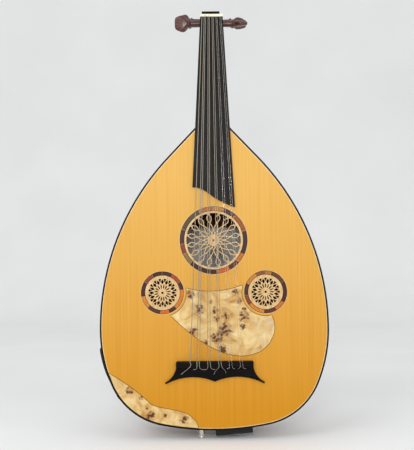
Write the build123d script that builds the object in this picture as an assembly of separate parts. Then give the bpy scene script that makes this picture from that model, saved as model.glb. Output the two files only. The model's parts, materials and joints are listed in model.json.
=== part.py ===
from build123d import *
import os
from math import asin, atan2, cos, degrees, pi, radians, sin, sqrt, tan

# A Turkish-bodied oud with three rosettes and an on-board pickup.
# Frame: Z runs up the neck, X is to the right as the listener sees it, and Y goes
# into the bowl.  y = 0 is the back face of the soundboard and the rim of the bowl,
# and the origin is the lowest point of the bowl at the tail, on the centre line.
# All sizes are in millimetres and all angles in degrees.

# ---- driving dimensions: the body outline -------------------------------------
BODY_HALF_WIDTH = 195.0        # widest half width, which is also the depth of the bowl
WIDEST_HEIGHT = 171.7          # height of the widest place above the tail
SHOULDER_RADIUS = 425.0        # arc from the widest place up to the shoulder
SHOULDER_SWEEP = 43.7          # its angle, and the slope of the straight shoulder
FLANK_RADIUS = 241.9           # arc from the widest place down
FLANK_SWEEP = 22.6
CORNER_SWEEP = 56.0            # angle of the tighter arc below the flank
HEEL_HALF_WIDTH = 29.5         # half width where the bowl meets the neck

# ---- bowl, soundboard and what lies on it ----------------------------------------
RIB_THICKNESS = 3.0
RIB_COUNT = 15
RIB_LINE = 0.8                 # width of the pale line between two ribs
TAIL_CAP_RADIUS = 14.0
SOUNDBOARD = 2.2               # soundboard thickness
BINDING_WIDTH = 3.0
INLAY_DEPTH = 1.2              # thickness of the inlaid rings
GLUE_GAP = 0.05                # clearance round an inlaid piece
BRACE_WIDTH = 5.0
BRACE_DEPTH = 12.0
BRACE_HEIGHTS = (62.0, 100.0, 152.0, 197.0, 269.0, 380.0, 425.0, 468.0)
NECK_BLOCK = 42.0              # height of the block under the neck joint
TAIL_BLOCK_LEFT = 30.0         # how far the tail block reaches from the jack: left,
TAIL_BLOCK_RIGHT = 20.0        # right,
TAIL_BLOCK_DEPTH = 26.0        # and into the bowl
TAIL_BLOCK_HEIGHT = 24.0
GUARD = 0.6                    # thickness of the veneer guards
LABEL = 0.3                    # thickness of the paper label
LABEL_HALF = 52.0
LABEL_BELOW = 75.0             # how far it runs below and above the large rosette's centre
LABEL_ABOVE = 20.0

MAIN_HEIGHT = 323.5            # centre of the large rosette
MAIN_RING = 57.8               # outer radius of its inlaid ring
MAIN_DISC = 49.9               # outer radius of the carved disc
MAIN_LATTICE = 46.3            # outer radius of the carved pattern
SMALL_OFFSET = 87.7            # centres of the small rosettes, left and right
SMALL_HEIGHT = 234.8
SMALL_RING = 36.6
SMALL_DISC = 29.5
SMALL_LATTICE = 24.2
ROSETTE = 2.0                  # thickness of a carved disc
FOLDS = 16                     # the carving repeats this many times round
BAR = 1.3                      # width of a carved bar
# How far round its centre, in degrees, a bar of the large rosette has swung by each radius.
MAIN_SWING = (
    (5.0, -33.0), (8.0, -20.5), (11.4, -11.25), (18.1, 0.0), (29.2, 11.25), (33.5, 15.2),
    (38.2, 16.9), (42.0, 14.4), (43.8, 11.25), (46.6, 5.5),
)
MAIN_CROSSINGS = (11.4, 18.1, 29.2, 43.8)      # radii at which its bars cross
MAIN_HUB = 1.9                 # radius of the hole in the middle of the large rosette
SMALL_HUB = 2.0                # and of the small ones
GUARD_GAP = 3.6                # from a small ring to the guard's edge

# ---- neck, nut, strings and bridge ---------------------------------------------------
SCALE_LENGTH = 585.0           # bridge to nut
BRIDGE_FRONT = 118.0           # height of the bridge edge that the strings leave
NUT_HALF_WIDTH = 19.15
NUT_THICKNESS = 4.0
NUT_BACK = 3.0                 # how far the nut reaches behind the rim plane
FINGERBOARD = 3.0
BOARD_END_BASS = 102.0         # how far below the shoulder the board runs, left side
BOARD_END_TREBLE = 136.0       # and right side
STRING_AT_NUT = 1.2            # string centre above the fingerboard
STRING_AT_BRIDGE = 8.5         # string centre above the soundboard
STRING_BASS = 0.60             # string radius, thickest
STRING_TREBLE = 0.35           # and thinnest
STRING_BEND = 2.0              # radius of the string's bend over the nut
STRING_LIFT = 0.25             # string centre above the nut's top face at the bend
TIE_DEPTH = 7.0                # how far the string runs into the bridge
LASHING = 5.0                  # length of each string's tied end on the tie block
LASHING_GAP = 0.05
SLOT_CLEARANCE = 0.05
SINGLE_AT_BRIDGE = -41.7       # place of the single bass string
PAIR_AT_BRIDGE = -28.4         # place of the first pair
COURSE_PITCH = 18.3
PAIR_GAP = 4.1                 # between the two strings of a pair, at the bridge
NUT_PAIR_GAP = 2.2             # and at the nut
NUT_MARGIN = 3.2               # from the outer strings to the ends of the nut
PAIRS = 5
BRIDGE_BLOCK = 65.5            # half length of the bridge's tie block
BRIDGE_SPAN = 84.8             # half length to the tips of its wings
BRIDGE_DROP = 38.0             # from the block's front edge down to the tips
BRIDGE_TIE_WIDTH = 11.0
BRIDGE_TIE_HEIGHT = 10.5
BRIDGE_BASE = 4.0
BRIDGE_STEP = 0.4              # how far the foot stands out round the tie block
BRIDGE_ROUND = 1.2             # rounding of the tie block, clear of its holes
BRIDGE_CORNER = 3.0            # rounding of its two upper corners

# ---- pegbox and pegs --------------------------------------------------------------------
PEGBOX_LENGTH = 190.0
PEGBOX_START_SLOPE = 7.0       # rise of the open side at the nut, from the Y direction
PEGBOX_END_SLOPE = 21.0
PEGBOX_END_HALF_WIDTH = 15.0
PEGBOX_END_DEPTH = 24.0
THROAT_DEPTH = 35.0            # height of the glue joint between neck and pegbox
CHEEK = 6.5
FLARE_WALL = 2.0               # cheek thickness at the nut, beside the outer strings
FLARE_END = 26.0               # where the cheek reaches its full thickness
CAVITY_DEPTH = 19.0
END_BLOCK = 12.0
END_CAP = 5.0
END_CAP_RISE = 5.0
PEG_COUNT = 11
PEG_FIRST = 26.0               # from the nut to the first peg, along the open side
PEG_PITCH = 14.0
PEG_DEPTH = 11.0               # peg axis below the open side
PEG_RADIUS = 4.9               # at the outer face of the first cheek
PEG_TAPER = 0.030              # loss of radius per length
PEG_CLEARANCE = 0.05
PEG_STEM = 19.0                # bare stem between cheek and collar
COLLAR_RADIUS = 6.7
COLLAR_LENGTH = 4.0
PEG_HEAD_LENGTH = 22.0
PEG_HEAD_HALF = 12.4
PEG_HEAD_THICKNESS = 8.5
PEG_TIP_THICKNESS = 4.8
PEG_HEAD_WIDEST = 0.34         # place of the head's widest point along its length
PEG_TIP_WIDTH = 0.74           # width at the tip, as a part of the widest
WINDING_GAP = 0.3              # between a peg and the string wound on it
WINDING_LENGTH = 6.0
WINDING_WALL = 0.5             # from a winding to the cheek beside it

# ---- pickup, controls, battery and output ---------------------------------------------------
PANEL_LENGTH = 98.0
PANEL_WIDTH = 40.0
PANEL_CORNER = 5.0
# Height above the tail and the panel's thickness there: it stands off towards its top.
PANEL_RISE = (
    (30.0, 2.2), (60.0, 2.2), (76.0, 2.6), (97.0, 4.8), (120.0, 5.8), (138.0, 6.1), (155.0, 6.2),
)
PANEL_HEIGHT = 92.0            # middle of the panel above the tail
PANEL_DEPTH = 34.0             # middle of the panel behind the rim plane
CASE_MARGIN = 4.0
CASE_DEPTH = 28.0
CASE_WALL = 2.0
CASE_CLEARANCE = 0.2
VOLUME_AT = -37.0              # knob places along the panel
TREBLE_AT = 12.0
BASS_AT = 36.0
VOLUME_RADIUS = 9.0
VOLUME_LENGTH = 5.0
TONE_RADIUS = 4.2
TONE_LENGTH = 3.5
KNOB_SHAFT = 3.0
SHAFT_CLEARANCE = 0.1
KNOB_GAP = 0.5                 # under a knob
KNOB_EDGE = 0.8                # rounding of its top edge
FLUTE = 0.6                    # radius of a groove round its side
FLUTE_OUT = 0.25               # how far outside the knob the groove's centre stands
SHAFT_REACH = 9.0              # shaft length behind the panel's outer face
BATTERY_X = 32.0
BATTERY_Y = 23.0
BATTERY = (48.5, 17.5, 26.5)   # a nine-volt block
BATTERY_END_PLAY = 0.2
TRAY_WALL = 1.6
TRAY_CLEARANCE = 0.4
BOX_WALL = 1.6
FLANGE = 5.0
FLANGE_BORDER = 4.0
TRAY_PLATE = 4.2
JACK_X = -23.5
JACK_Y = 18.0
JACK_BARREL = 6.0
JACK_BORE = 3.25
JACK_LENGTH = 32.0
THROUGH = 80.0                 # length of a cutter that has to pass right through
BUTTON_NECK = 5.0
BUTTON_FLANGE = 6.8
BUTTON_LENGTH = 17.5
BUTTON_RIM = 2.8
WASHER_RADIUS = 8.0
WASHER = 1.0
PICKUP = (104.0, 2.4, 0.9)

# ---- worked-out places ---------------------------------------------------------------------
NUT_HEIGHT = BRIDGE_FRONT + SCALE_LENGTH
shoulder = radians(SHOULDER_SWEEP)
flank = radians(FLANK_SWEEP)
corner = radians(FLANK_SWEEP + CORNER_SWEEP)
# The corner and tail radii close the outline: horizontal at the tail, at the origin.
reach = BODY_HALF_WIDTH - FLANK_RADIUS * (1 - cos(flank))
fall = WIDEST_HEIGHT - FLANK_RADIUS * sin(flank)
a11, a12 = cos(flank) - cos(corner), cos(corner)
a21, a22 = sin(corner) - sin(flank), 1 - sin(corner)
CORNER_RADIUS = (reach * a22 - a12 * fall) / (a11 * a22 - a12 * a21)
TAIL_RADIUS = (a11 * fall - a21 * reach) / (a11 * a22 - a12 * a21)


def polar(centre, radius, angle):
    """Point of a circle in the outline's plane, the angle up from the X direction."""
    return (centre[0] + radius * cos(angle), centre[1] + radius * sin(angle))


shoulder_centre = (BODY_HALF_WIDTH - SHOULDER_RADIUS, WIDEST_HEIGHT)
flank_centre = (BODY_HALF_WIDTH - FLANK_RADIUS, WIDEST_HEIGHT)
corner_centre = polar(flank_centre, FLANK_RADIUS - CORNER_RADIUS, -flank)
tail_centre = (0.0, TAIL_RADIUS)
shoulder_top = polar(shoulder_centre, SHOULDER_RADIUS, shoulder)
HEEL_HEIGHT = shoulder_top[1] + (shoulder_top[0] - HEEL_HALF_WIDTH) / tan(shoulder)
NECK_TAPER = (HEEL_HALF_WIDTH - NUT_HALF_WIDTH) / (NUT_HEIGHT - HEEL_HEIGHT)


def save(node, *solids):
    """Write one node's solids to its own file."""
    shape = solids[0] if len(solids) == 1 else Compound(children=list(solids))
    export_step(shape, "parts/" + node + ".step")


def arc(centre, radius, start, end):
    """Arc about a centre from one angle to another, in radians."""
    middle = (start + end) / 2
    return ThreePointArc(*(polar(centre, radius, a) for a in (start, middle, end)))


def half_outline(inset=0.0):
    """Half of the body's outline, shrunk by the inset and closed along the axis."""
    top = polar(shoulder_centre, SHOULDER_RADIUS - inset, shoulder)
    run = (HEEL_HEIGHT - top[1]) / cos(shoulder)
    end = (top[0] - run * sin(shoulder), HEEL_HEIGHT)
    edges = [
        arc(tail_centre, TAIL_RADIUS - inset, -pi / 2, -corner),
        arc(corner_centre, CORNER_RADIUS - inset, -corner, -flank),
        arc(flank_centre, FLANK_RADIUS - inset, -flank, 0.0),
        arc(shoulder_centre, SHOULDER_RADIUS - inset, 0.0, shoulder),
        Line(top, end),
        Line(end, (0.0, HEEL_HEIGHT)),
        Line((0.0, HEEL_HEIGHT), (0.0, inset)),
    ]
    return make_face(edges)


def whole_outline(inset=0.0):
    """The body's full outline, shrunk by the inset."""
    half = half_outline(inset)
    return half + mirror(half, about=Plane.YZ)


def plate(sketch, front, back):
    """Flat plate from a sketch in X and Z, between two places in Y."""
    return extrude(Plane.XZ.offset(-back) * sketch, amount=back - front)


def turned(sketch):
    """Half a turn of a sketch in X and Z about the Z axis, on the bowl's side."""
    return revolve(Plane.XZ * sketch, axis=Axis.Z, revolution_arc=180)


def block(x0, x1, y0, y1, z0, z1):
    """Box between two places on each axis."""
    middle = Pos((x0 + x1) / 2, (y0 + y1) / 2, (z0 + z1) / 2)
    return middle * Box(x1 - x0, y1 - y0, z1 - z0)


def outline_at(height):
    """Radius of the bowl at a height below the widest place, and the slope there."""
    for centre, radius, steepest in (
        (flank_centre, FLANK_RADIUS, flank),
        (corner_centre, CORNER_RADIUS, corner),
        (tail_centre, TAIL_RADIUS, pi / 2),
    ):
        angle = asin(min(1.0, (centre[1] - height) / radius))
        if angle <= steepest:
            break
    return centre[0] + radius * cos(angle), angle


def surface_plane(x, y):
    """Plane on the tail end of the bowl at a place, facing out and down."""
    depth = sqrt(TAIL_RADIUS**2 - x * x - y * y)
    point = Vector(x, y, TAIL_RADIUS - depth)
    out = Vector(x, y, -depth).normalized()
    return Plane(origin=point, x_dir=Vector(1, 0, -out.X / out.Z), z_dir=out)


def side_plane(height, behind):
    """Plane on the bowl's bass side at a height and a depth, facing out."""
    radius, slope = outline_at(height)
    turn = asin(behind / radius)
    out = Vector(-cos(slope) * cos(turn), cos(slope) * sin(turn), -sin(slope))
    along = Vector(-sin(slope) * cos(turn), sin(slope) * sin(turn), cos(slope))
    point = Vector(-radius * cos(turn), radius * sin(turn), height)
    return Plane(origin=point, x_dir=along, z_dir=out)


# ---- places on the body that several pieces share ---------------------------------------------
panel_plane = side_plane(PANEL_HEIGHT, PANEL_DEPTH)
battery_plane = surface_plane(BATTERY_X, BATTERY_Y)
# The jack's washer lies flat against the place of the bowl under it that is lowest.
jack_reach = sqrt(JACK_X**2 + JACK_Y**2) - WASHER_RADIUS
jack_level = TAIL_RADIUS - sqrt(TAIL_RADIUS**2 - jack_reach**2)
ROSETTES = {
    "main": (0.0, MAIN_HEIGHT, MAIN_RING, MAIN_DISC),
    "bass": (-SMALL_OFFSET, SMALL_HEIGHT, SMALL_RING, SMALL_DISC),
    "treble": (SMALL_OFFSET, SMALL_HEIGHT, SMALL_RING, SMALL_DISC),
}
tray_size = (
    BATTERY[0] + 2 * TRAY_WALL,
    BATTERY[1] + 2 * TRAY_WALL,
    BATTERY[2] + 2 * TRAY_WALL,
)
box_inner = tuple(side + 2 * TRAY_CLEARANCE for side in tray_size)
box_outer = tuple(side + 2 * BOX_WALL for side in box_inner)


def local_box(plane, size, low, high, at=0.0):
    """Box square to a plane, centred on it sideways, between two levels along it."""
    middle = plane * Pos(at, 0, (low + high) / 2)
    return middle * Box(size[0], size[1], high - low)


def case_prism(extra):
    """The preamp case's outside, grown by a clearance."""
    size = (PANEL_LENGTH - 2 * CASE_MARGIN, PANEL_WIDTH - 2 * CASE_MARGIN)
    grown = (size[0] + 2 * extra, size[1] + 2 * extra)
    return local_box(panel_plane, grown, -CASE_DEPTH - extra, PANEL_RISE[-1][1])


def battery_prism(extra):
    """The battery box's outside, grown by a clearance."""
    grown = (box_outer[0] + 2 * extra, box_outer[1] + 2 * extra)
    return local_box(battery_plane, grown, -box_outer[2] - extra, FLANGE)


def cut_for_fittings(shape):
    """Openings in the bowl for the preamp, the battery box and the jack."""
    jack_hole = Pos(JACK_X, JACK_Y, 0) * Cylinder(JACK_BARREL + GLUE_GAP, THROUGH)
    return shape - case_prism(CASE_CLEARANCE) - battery_prism(CASE_CLEARANCE) - jack_hole


# ---- bowl --------------------------------------------------------------------------------------
def pole_strip():
    """Strip beside the tail's pole, where the ribs give way to the cap."""
    return Pos(TAIL_CAP_RADIUS / 2, 0) * Rectangle(TAIL_CAP_RADIUS, CORNER_RADIUS)


def shell_sketch(outer, inner):
    """Wall of the bowl between two insets, stopping short of the tail's pole."""
    wall = half_outline(outer) - half_outline(inner)
    return wall - pole_strip()


def bowl():
    """Ribs as staves of one turned wall, with thin pale lines standing between them."""
    wall = shell_sketch(0.0, RIB_THICKNESS)
    step = 180.0 / RIB_COUNT
    line = extrude(Plane.XZ * wall, amount=RIB_LINE / 2, both=True)
    lines = [Rot(0, 0, step * i) * line for i in range(1, RIB_COUNT)]
    stave = revolve(Plane.XZ * wall, axis=Axis.Z, revolution_arc=step)
    slab = block(
        0, 2 * BODY_HALF_WIDTH, -RIB_LINE / 2, RIB_LINE / 2, -HEEL_HEIGHT, 2 * HEEL_HEIGHT
    )
    ribs = []
    for i in range(RIB_COUNT):
        rib = Rot(0, 0, step * i) * stave
        for neighbour in (i, i + 1):
            if 0 < neighbour < RIB_COUNT:
                rib -= Rot(0, 0, step * neighbour) * slab
        ribs.append(rib)
    cut_ribs = [solid for rib in ribs for solid in cut_for_fittings(rib).solids()]
    cut_lines = [solid for strip in lines for solid in cut_for_fittings(strip).solids()]
    save("bowl_ribs", *cut_ribs)
    save("bowl_rib_lines", *cut_lines)

    cap = half_outline() - half_outline(RIB_THICKNESS)
    save("tail_cap", cut_for_fittings(turned(cap & pole_strip())).solids()[0])


def inside():
    """The space inside the bowl, down to the ribs' inner face."""
    return turned(half_outline(RIB_THICKNESS))


def blocks_and_braces():
    """Neck block, tail block and the soundboard's bars."""
    space = inside()
    half = BODY_HALF_WIDTH
    neck_block = space & block(-half, half, 0, half, HEEL_HEIGHT - NECK_BLOCK, HEEL_HEIGHT)
    save("neck_block", neck_block)
    tail_block = space & block(
        JACK_X - TAIL_BLOCK_LEFT, JACK_X + TAIL_BLOCK_RIGHT,
        0, JACK_Y + TAIL_BLOCK_DEPTH, 0, TAIL_BLOCK_HEIGHT,
    )
    tail_block -= Pos(JACK_X, JACK_Y, 0) * Cylinder(JACK_BARREL + GLUE_GAP, THROUGH)
    tail_block -= battery_prism(CASE_CLEARANCE)
    save("tail_block", tail_block)
    bars = []
    for height in BRACE_HEIGHTS:
        low, high = height - BRACE_WIDTH / 2, height + BRACE_WIDTH / 2
        bar = space & block(-half, half, 0, BRACE_DEPTH, low, high)
        bars.append(bar - case_prism(CASE_CLEARANCE))
    save("soundboard_braces", *[solid for bar in bars for solid in bar.solids()])


def label():
    """Blank paper label on the back of the bowl, under the large rosette."""
    sheet = turned(shell_sketch(RIB_THICKNESS, RIB_THICKNESS + LABEL))
    window = block(
        -LABEL_HALF, LABEL_HALF, 0, 2 * BODY_HALF_WIDTH,
        MAIN_HEIGHT - LABEL_BELOW, MAIN_HEIGHT + LABEL_ABOVE,
    )
    save("interior_label", (sheet & window).solids()[0])


# ---- soundboard ----------------------------------------------------------------------------------
def soundboard():
    """Two bookmatched halves with seats for the rings, and the black binding."""
    half = half_outline(BINDING_WIDTH)
    holes = []
    for x, z, ring, disc in ROSETTES.values():
        holes.append(plate(Pos(x, z) * Circle(disc), -2 * SOUNDBOARD, SOUNDBOARD))
        seat = plate(Pos(x, z) * Circle(ring), -2 * SOUNDBOARD, INLAY_DEPTH - SOUNDBOARD)
        holes.append(seat)
    for side, sketch in (("treble", half), ("bass", mirror(half, about=Plane.YZ))):
        board = plate(sketch, -SOUNDBOARD, 0)
        for hole in holes:
            board -= hole
        save("soundboard_" + side + "_half", board)
    rim = whole_outline() - whole_outline(BINDING_WIDTH)
    save("edge_binding", *plate(rim, -SOUNDBOARD, 0).solids())


def ring(node, x, z, outer, inner):
    """Inlaid ring of veneer blocks round a rosette, flush with the soundboard."""
    sketch = Circle(outer - GLUE_GAP) - Circle(inner + GLUE_GAP)
    save(node, plate(Pos(x, z) * sketch, -SOUNDBOARD, INLAY_DEPTH - SOUNDBOARD))


def spoke_point(radius, angle):
    """Point at a radius and an angle in degrees, clockwise from straight up."""
    return (radius * sin(radians(angle)), radius * cos(radians(angle)))


def kite(low, mid, high, half_angle, bulge=1.0):
    """Opening with a point at each end and rounded flanks, about the upward line."""
    right = spoke_point(mid, half_angle)
    left = (-right[0], right[1])
    base, tip = (0.0, low), (0.0, high)

    def side(start, through, end):
        lower = ((start[0] + through[0]) / 2 * bulge, (start[1] + through[1]) / 2)
        upper = ((through[0] + end[0]) / 2 * bulge, (through[1] + end[1]) / 2)
        if bulge == 1.0:
            return [Line(start, through), Line(through, end)]
        return [ThreePointArc(start, lower, through), ThreePointArc(through, upper, end)]

    return make_face(side(base, right, tip) + side(tip, left, base))


def leaf(low, high, half_angle):
    """Almond opening between two arcs, about the upward line."""
    right = spoke_point((low + high) / 2, half_angle)
    base, tip = (0.0, low), (0.0, high)
    left = (-right[0], right[1])
    return make_face([ThreePointArc(base, right, tip), ThreePointArc(tip, left, base)])


def wedge(low, high, half_angle, top_half_angle):
    """Opening that widens from a point to a rounded outer end."""
    right = spoke_point(high, top_half_angle)
    left = (-right[0], right[1])
    flank_point = spoke_point(low + 0.62 * (high - low), half_angle)
    other = (-flank_point[0], flank_point[1])
    crown = (0.0, high + 0.3)
    return make_face([
        ThreePointArc((0.0, low), flank_point, right),
        ThreePointArc(right, crown, left),
        ThreePointArc(left, other, (0.0, low)),
    ])


def swing(radius):
    """Smooth curve through MAIN_SWING: cubics whose slopes are the chords' beside them."""
    last = len(MAIN_SWING) - 1
    i = next((j for j in range(1, last - 1) if radius < MAIN_SWING[j + 1][0]), last - 2)
    (r0, a0), (r1, a1), (r2, a2), (r3, a3) = MAIN_SWING[i - 1:i + 3]
    t = (radius - r1) / (r2 - r1)
    rise_in = (a2 - a0) / (r2 - r0) * (r2 - r1)
    rise_out = (a3 - a1) / (r3 - r1) * (r2 - r1)
    return (
        (2 * t**3 - 3 * t**2 + 1) * a1 + (t**3 - 2 * t**2 + t) * rise_in
        + (3 * t**2 - 2 * t**3) * a2 + (t**3 - t**2) * rise_out
    )


def cell_half_angle(radius, about):
    """Half the angle that is open between two bars at a radius, about a line between them."""
    step = 360.0 / FOLDS
    away = (swing(radius) - about) % step
    slope = radians(swing(radius + 0.01) - swing(radius - 0.01)) / 0.02
    bar = degrees(BAR / 2 / radius * sqrt(1 + (radius * slope) ** 2))
    return min(away, step - away) - bar


def cell(about, low, corners, high):
    """Opening between crossing bars, from a point near `low` to a point or rim at `high`."""
    open_at = 0.15                  # half width in degrees at which a point is blunted
    fine = 0.05
    while cell_half_angle(low, about) < open_at:
        low += fine
    rimmed = cell_half_angle(high, about) > open_at
    while cell_half_angle(high, about) < open_at:
        high -= fine
    stops = [low, *corners, high]
    right = []
    for start, end in zip(stops, stops[1:]):
        count = 5
        radii = [start + (end - start) * k / count for k in range(count + 1)]
        right.append([spoke_point(r, cell_half_angle(r, about)) for r in radii])
    edges = [Spline(*run) for run in right]
    edges += [Spline(*[(-x, y) for x, y in run]) for run in right]
    (x0, y0), (x1, y1) = right[0][0], right[-1][-1]
    edges.append(Line((-x0, y0), (x0, y0)))
    if rimmed:
        edges.append(ThreePointArc((-x1, y1), (0.0, high), (x1, y1)))
    else:
        edges.append(Line((-x1, y1), (x1, y1)))
    return make_face(edges)


def rosette(node, x, z, disc, hub_hole, cells, turn=0.0):
    """Carved disc: the cells are cut through it, each repeated round the centre."""
    holes = [Circle(hub_hole).face().outer_wire()]
    for opening, offset_steps in cells:
        for i in range(FOLDS):
            angle = (i + offset_steps) * 360.0 / FOLDS + turn
            holes.append((Rot(0, 0, -angle) * opening).face().outer_wire())
    rim = Circle(disc - GLUE_GAP).face().outer_wire()
    face = Face(rim, holes)
    placed = Plane.XZ.offset(SOUNDBOARD - ROSETTE) * Pos(x, z) * face
    save(node, extrude(placed, amount=ROSETTE, dir=(0, -1, 0)))


def rosettes():
    """The three carved discs and their inlaid rings."""
    for name, (x, z, outer, inner) in ROSETTES.items():
        ring("rosette_ring_" + name, x, z, outer, inner)
    first, second, third, fourth = MAIN_CROSSINGS
    half_step = 180.0 / FOLDS
    main_cells = (
        (cell(0.0, MAIN_SWING[1][0], [first], second), 0.0),
        (cell(half_step, first, [second], third), 0.5),
        (cell(0.0, second, [third, fourth], MAIN_LATTICE), 0.0),
        (cell(half_step, third, [], fourth), 0.5),
        (cell(half_step, fourth, [], MAIN_LATTICE), 0.5),
    )
    x, z, _, disc = ROSETTES["main"]
    rosette("rosette_main", x, z, disc, MAIN_HUB, main_cells)
    small_cells = (
        (leaf(6.6, 15.0, 5.6), 0.0),
        (kite(14.2, 18.6, 23.0, 7.9, 1.08), 0.5),
        (wedge(17.5, SMALL_LATTICE - 0.4, 4.0, 5.8), 0.0),
    )
    x, z, _, disc = ROSETTES["treble"]
    rosette("rosette_treble", x, z, disc, SMALL_HUB, small_cells)
    x, z, _, disc = ROSETTES["bass"]
    rosette("rosette_bass", x, z, disc, SMALL_HUB, small_cells, half_step)


def guards():
    """Burl veneers: one between the rosettes and the bridge, one along the lower edge."""
    hug = SMALL_RING + GUARD_GAP
    treble = (SMALL_OFFSET, SMALL_HEIGHT)
    bass = (-SMALL_OFFSET, SMALL_HEIGHT)
    top_right = polar(treble, hug, radians(161))
    low_right = polar(treble, hug, radians(284))
    top_left = polar(bass, hug, radians(12))
    low_left = polar(bass, hug, radians(288))
    dip = (5.8, SMALL_HEIGHT + 3.0)
    floor = BRIDGE_FRONT + 8.0
    outer = Spline(
        low_right,
        (103.0, floor + 48.0),
        (87.5, floor + 14.5),
        (45.0, floor),
        (-7.0, floor + 16.0),
        (-46.5, floor + 43.5),
        low_left,
    )
    guard = make_face([
        ThreePointArc(top_left, dip, top_right),
        ThreePointArc(top_right, polar(treble, hug, radians(222)), low_right),
        outer,
        ThreePointArc(low_left, polar(bass, hug, radians(330)), top_left),
    ])
    save("pickguard", plate(guard, -SOUNDBOARD - GUARD, -SOUNDBOARD))

    start_height = 107.0
    start = (-outline_at(start_height)[0] - 9.0, start_height)
    cusp, end = (-108.0, 45.2), (-29.0, -6.0)
    far = (-BODY_HALF_WIDTH - 20.0, -20.0)
    lobes = make_face([
        ThreePointArc(start, (-139.0, 72.0), cusp),
        Spline(cusp, (-73.0, 36.6), (-44.5, 27.0), (-31.0, 13.0), end),
        Line(end, (end[0], far[1])),
        Line((end[0], far[1]), far),
        Line(far, (far[0], start[1])),
        Line((far[0], start[1]), start),
    ])
    lower = lobes & mirror(half_outline(BINDING_WIDTH), about=Plane.YZ)
    save("lower_guard", plate(lower, -SOUNDBOARD - GUARD, -SOUNDBOARD).solids()[0])


# ---- neck and fingerboard ------------------------------------------------------------------------
def neck_half_width(height):
    """Half width of neck and fingerboard at a height."""
    return NUT_HALF_WIDTH + NECK_TAPER * (NUT_HEIGHT - height)


throat_height = NUT_HEIGHT - THROAT_DEPTH
throat = (neck_half_width(throat_height), throat_height)


def neck():
    """Half-round neck with a flat strip under the fingerboard, cut for the pegbox."""
    side = make_face(Polyline(
        (0, HEEL_HEIGHT), (HEEL_HALF_WIDTH, HEEL_HEIGHT), (NUT_HALF_WIDTH, NUT_HEIGHT),
        (0, NUT_HEIGHT), close=True,
    ).edges())
    strip = make_face(Polyline(
        (-HEEL_HALF_WIDTH, HEEL_HEIGHT), (HEEL_HALF_WIDTH, HEEL_HEIGHT),
        (NUT_HALF_WIDTH, NUT_HEIGHT), (-NUT_HALF_WIDTH, NUT_HEIGHT), close=True,
    ).edges())
    body = turned(side) + plate(strip, -SOUNDBOARD, 0)
    # the glue joint's line, carried on past the back of the neck
    far = (2 * throat[0] - NUT_BACK, 2 * throat[1] - NUT_HEIGHT)
    clear, above = 4 * NUT_HALF_WIDTH, NUT_HEIGHT + THROAT_DEPTH
    behind = make_face(Polyline(
        (NUT_BACK, NUT_HEIGHT), (NUT_BACK, above), (clear, above), (clear, far[1]), far,
        close=True,
    ).edges())
    cut = extrude(Plane.YZ * behind, amount=2 * HEEL_HALF_WIDTH, both=True)
    save("neck", body - cut)


def fingerboard():
    """Ebony board with a curved tail over the soundboard."""
    bass_end = HEEL_HEIGHT - BOARD_END_BASS
    treble_end = HEEL_HEIGHT - BOARD_END_TREBLE
    bass = (-neck_half_width(bass_end), bass_end)
    treble = (neck_half_width(treble_end), treble_end)
    middle = (0.0, (bass_end + treble_end) / 2 + 1.0)
    tail = Spline(bass, (-19.0, bass_end - 3.0), middle, (17.0, treble_end + 8.0), treble)
    face = make_face([
        tail,
        Line(treble, (NUT_HALF_WIDTH, NUT_HEIGHT)),
        Line((NUT_HALF_WIDTH, NUT_HEIGHT), (-NUT_HALF_WIDTH, NUT_HEIGHT)),
        Line((-NUT_HALF_WIDTH, NUT_HEIGHT), bass),
    ])
    save("fingerboard", plate(face, -SOUNDBOARD - FINGERBOARD, -SOUNDBOARD))


# ---- pegbox ---------------------------------------------------------------------------------------
slope_start, slope_end = radians(PEGBOX_START_SLOPE), radians(PEGBOX_END_SLOPE)
TOP_RADIUS = PEGBOX_LENGTH / (slope_end - slope_start)
nut_top = NUT_HEIGHT + NUT_THICKNESS
pegbox_centre = (
    NUT_BACK - TOP_RADIUS * sin(slope_start),
    nut_top + TOP_RADIUS * cos(slope_start),
)
width_loss = (NUT_HALF_WIDTH - PEGBOX_END_HALF_WIDTH) / PEGBOX_LENGTH


def pegbox_point(along, depth):
    """Place in Y and Z at a distance along the open side and a depth below it."""
    angle = slope_start + along / TOP_RADIUS
    radius = TOP_RADIUS + depth
    return (
        pegbox_centre[0] + radius * sin(angle),
        pegbox_centre[1] - radius * cos(angle),
    )


def pegbox_half_width(y):
    """Outer half width of the pegbox at a place in Y."""
    return NUT_HALF_WIDTH - width_loss * (y - NUT_BACK)


def pegbox_profile():
    """Side view of the pegbox in Y and Z, from the glue joint to its end."""
    start, end = pegbox_point(0, 0), pegbox_point(PEGBOX_LENGTH, 0)
    low_end = pegbox_point(PEGBOX_LENGTH, PEGBOX_END_DEPTH)
    low_mid = pegbox_point(0.55 * PEGBOX_LENGTH, PEGBOX_END_DEPTH + 2.5)
    return make_face([
        Line((NUT_BACK, NUT_HEIGHT), start),
        ThreePointArc(start, pegbox_point(PEGBOX_LENGTH / 2, 0), end),
        Line(end, low_end),
        ThreePointArc(low_end, low_mid, throat),
        Line(throat, (NUT_BACK, NUT_HEIGHT)),
    ])


def cavity_half_width(y):
    """Inner half width of the pegbox at a place in Y."""
    return pegbox_half_width(y) - CHEEK


def core_plan():
    """Plan of the space between the cheeks."""
    y0, y1 = -5.0, PEGBOX_LENGTH + 40.0
    x0, x1 = cavity_half_width(y0), cavity_half_width(y1)
    return make_face(Polyline((-x0, y0), (x0, y0), (x1, y1), (-x1, y1), close=True).edges())


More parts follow.
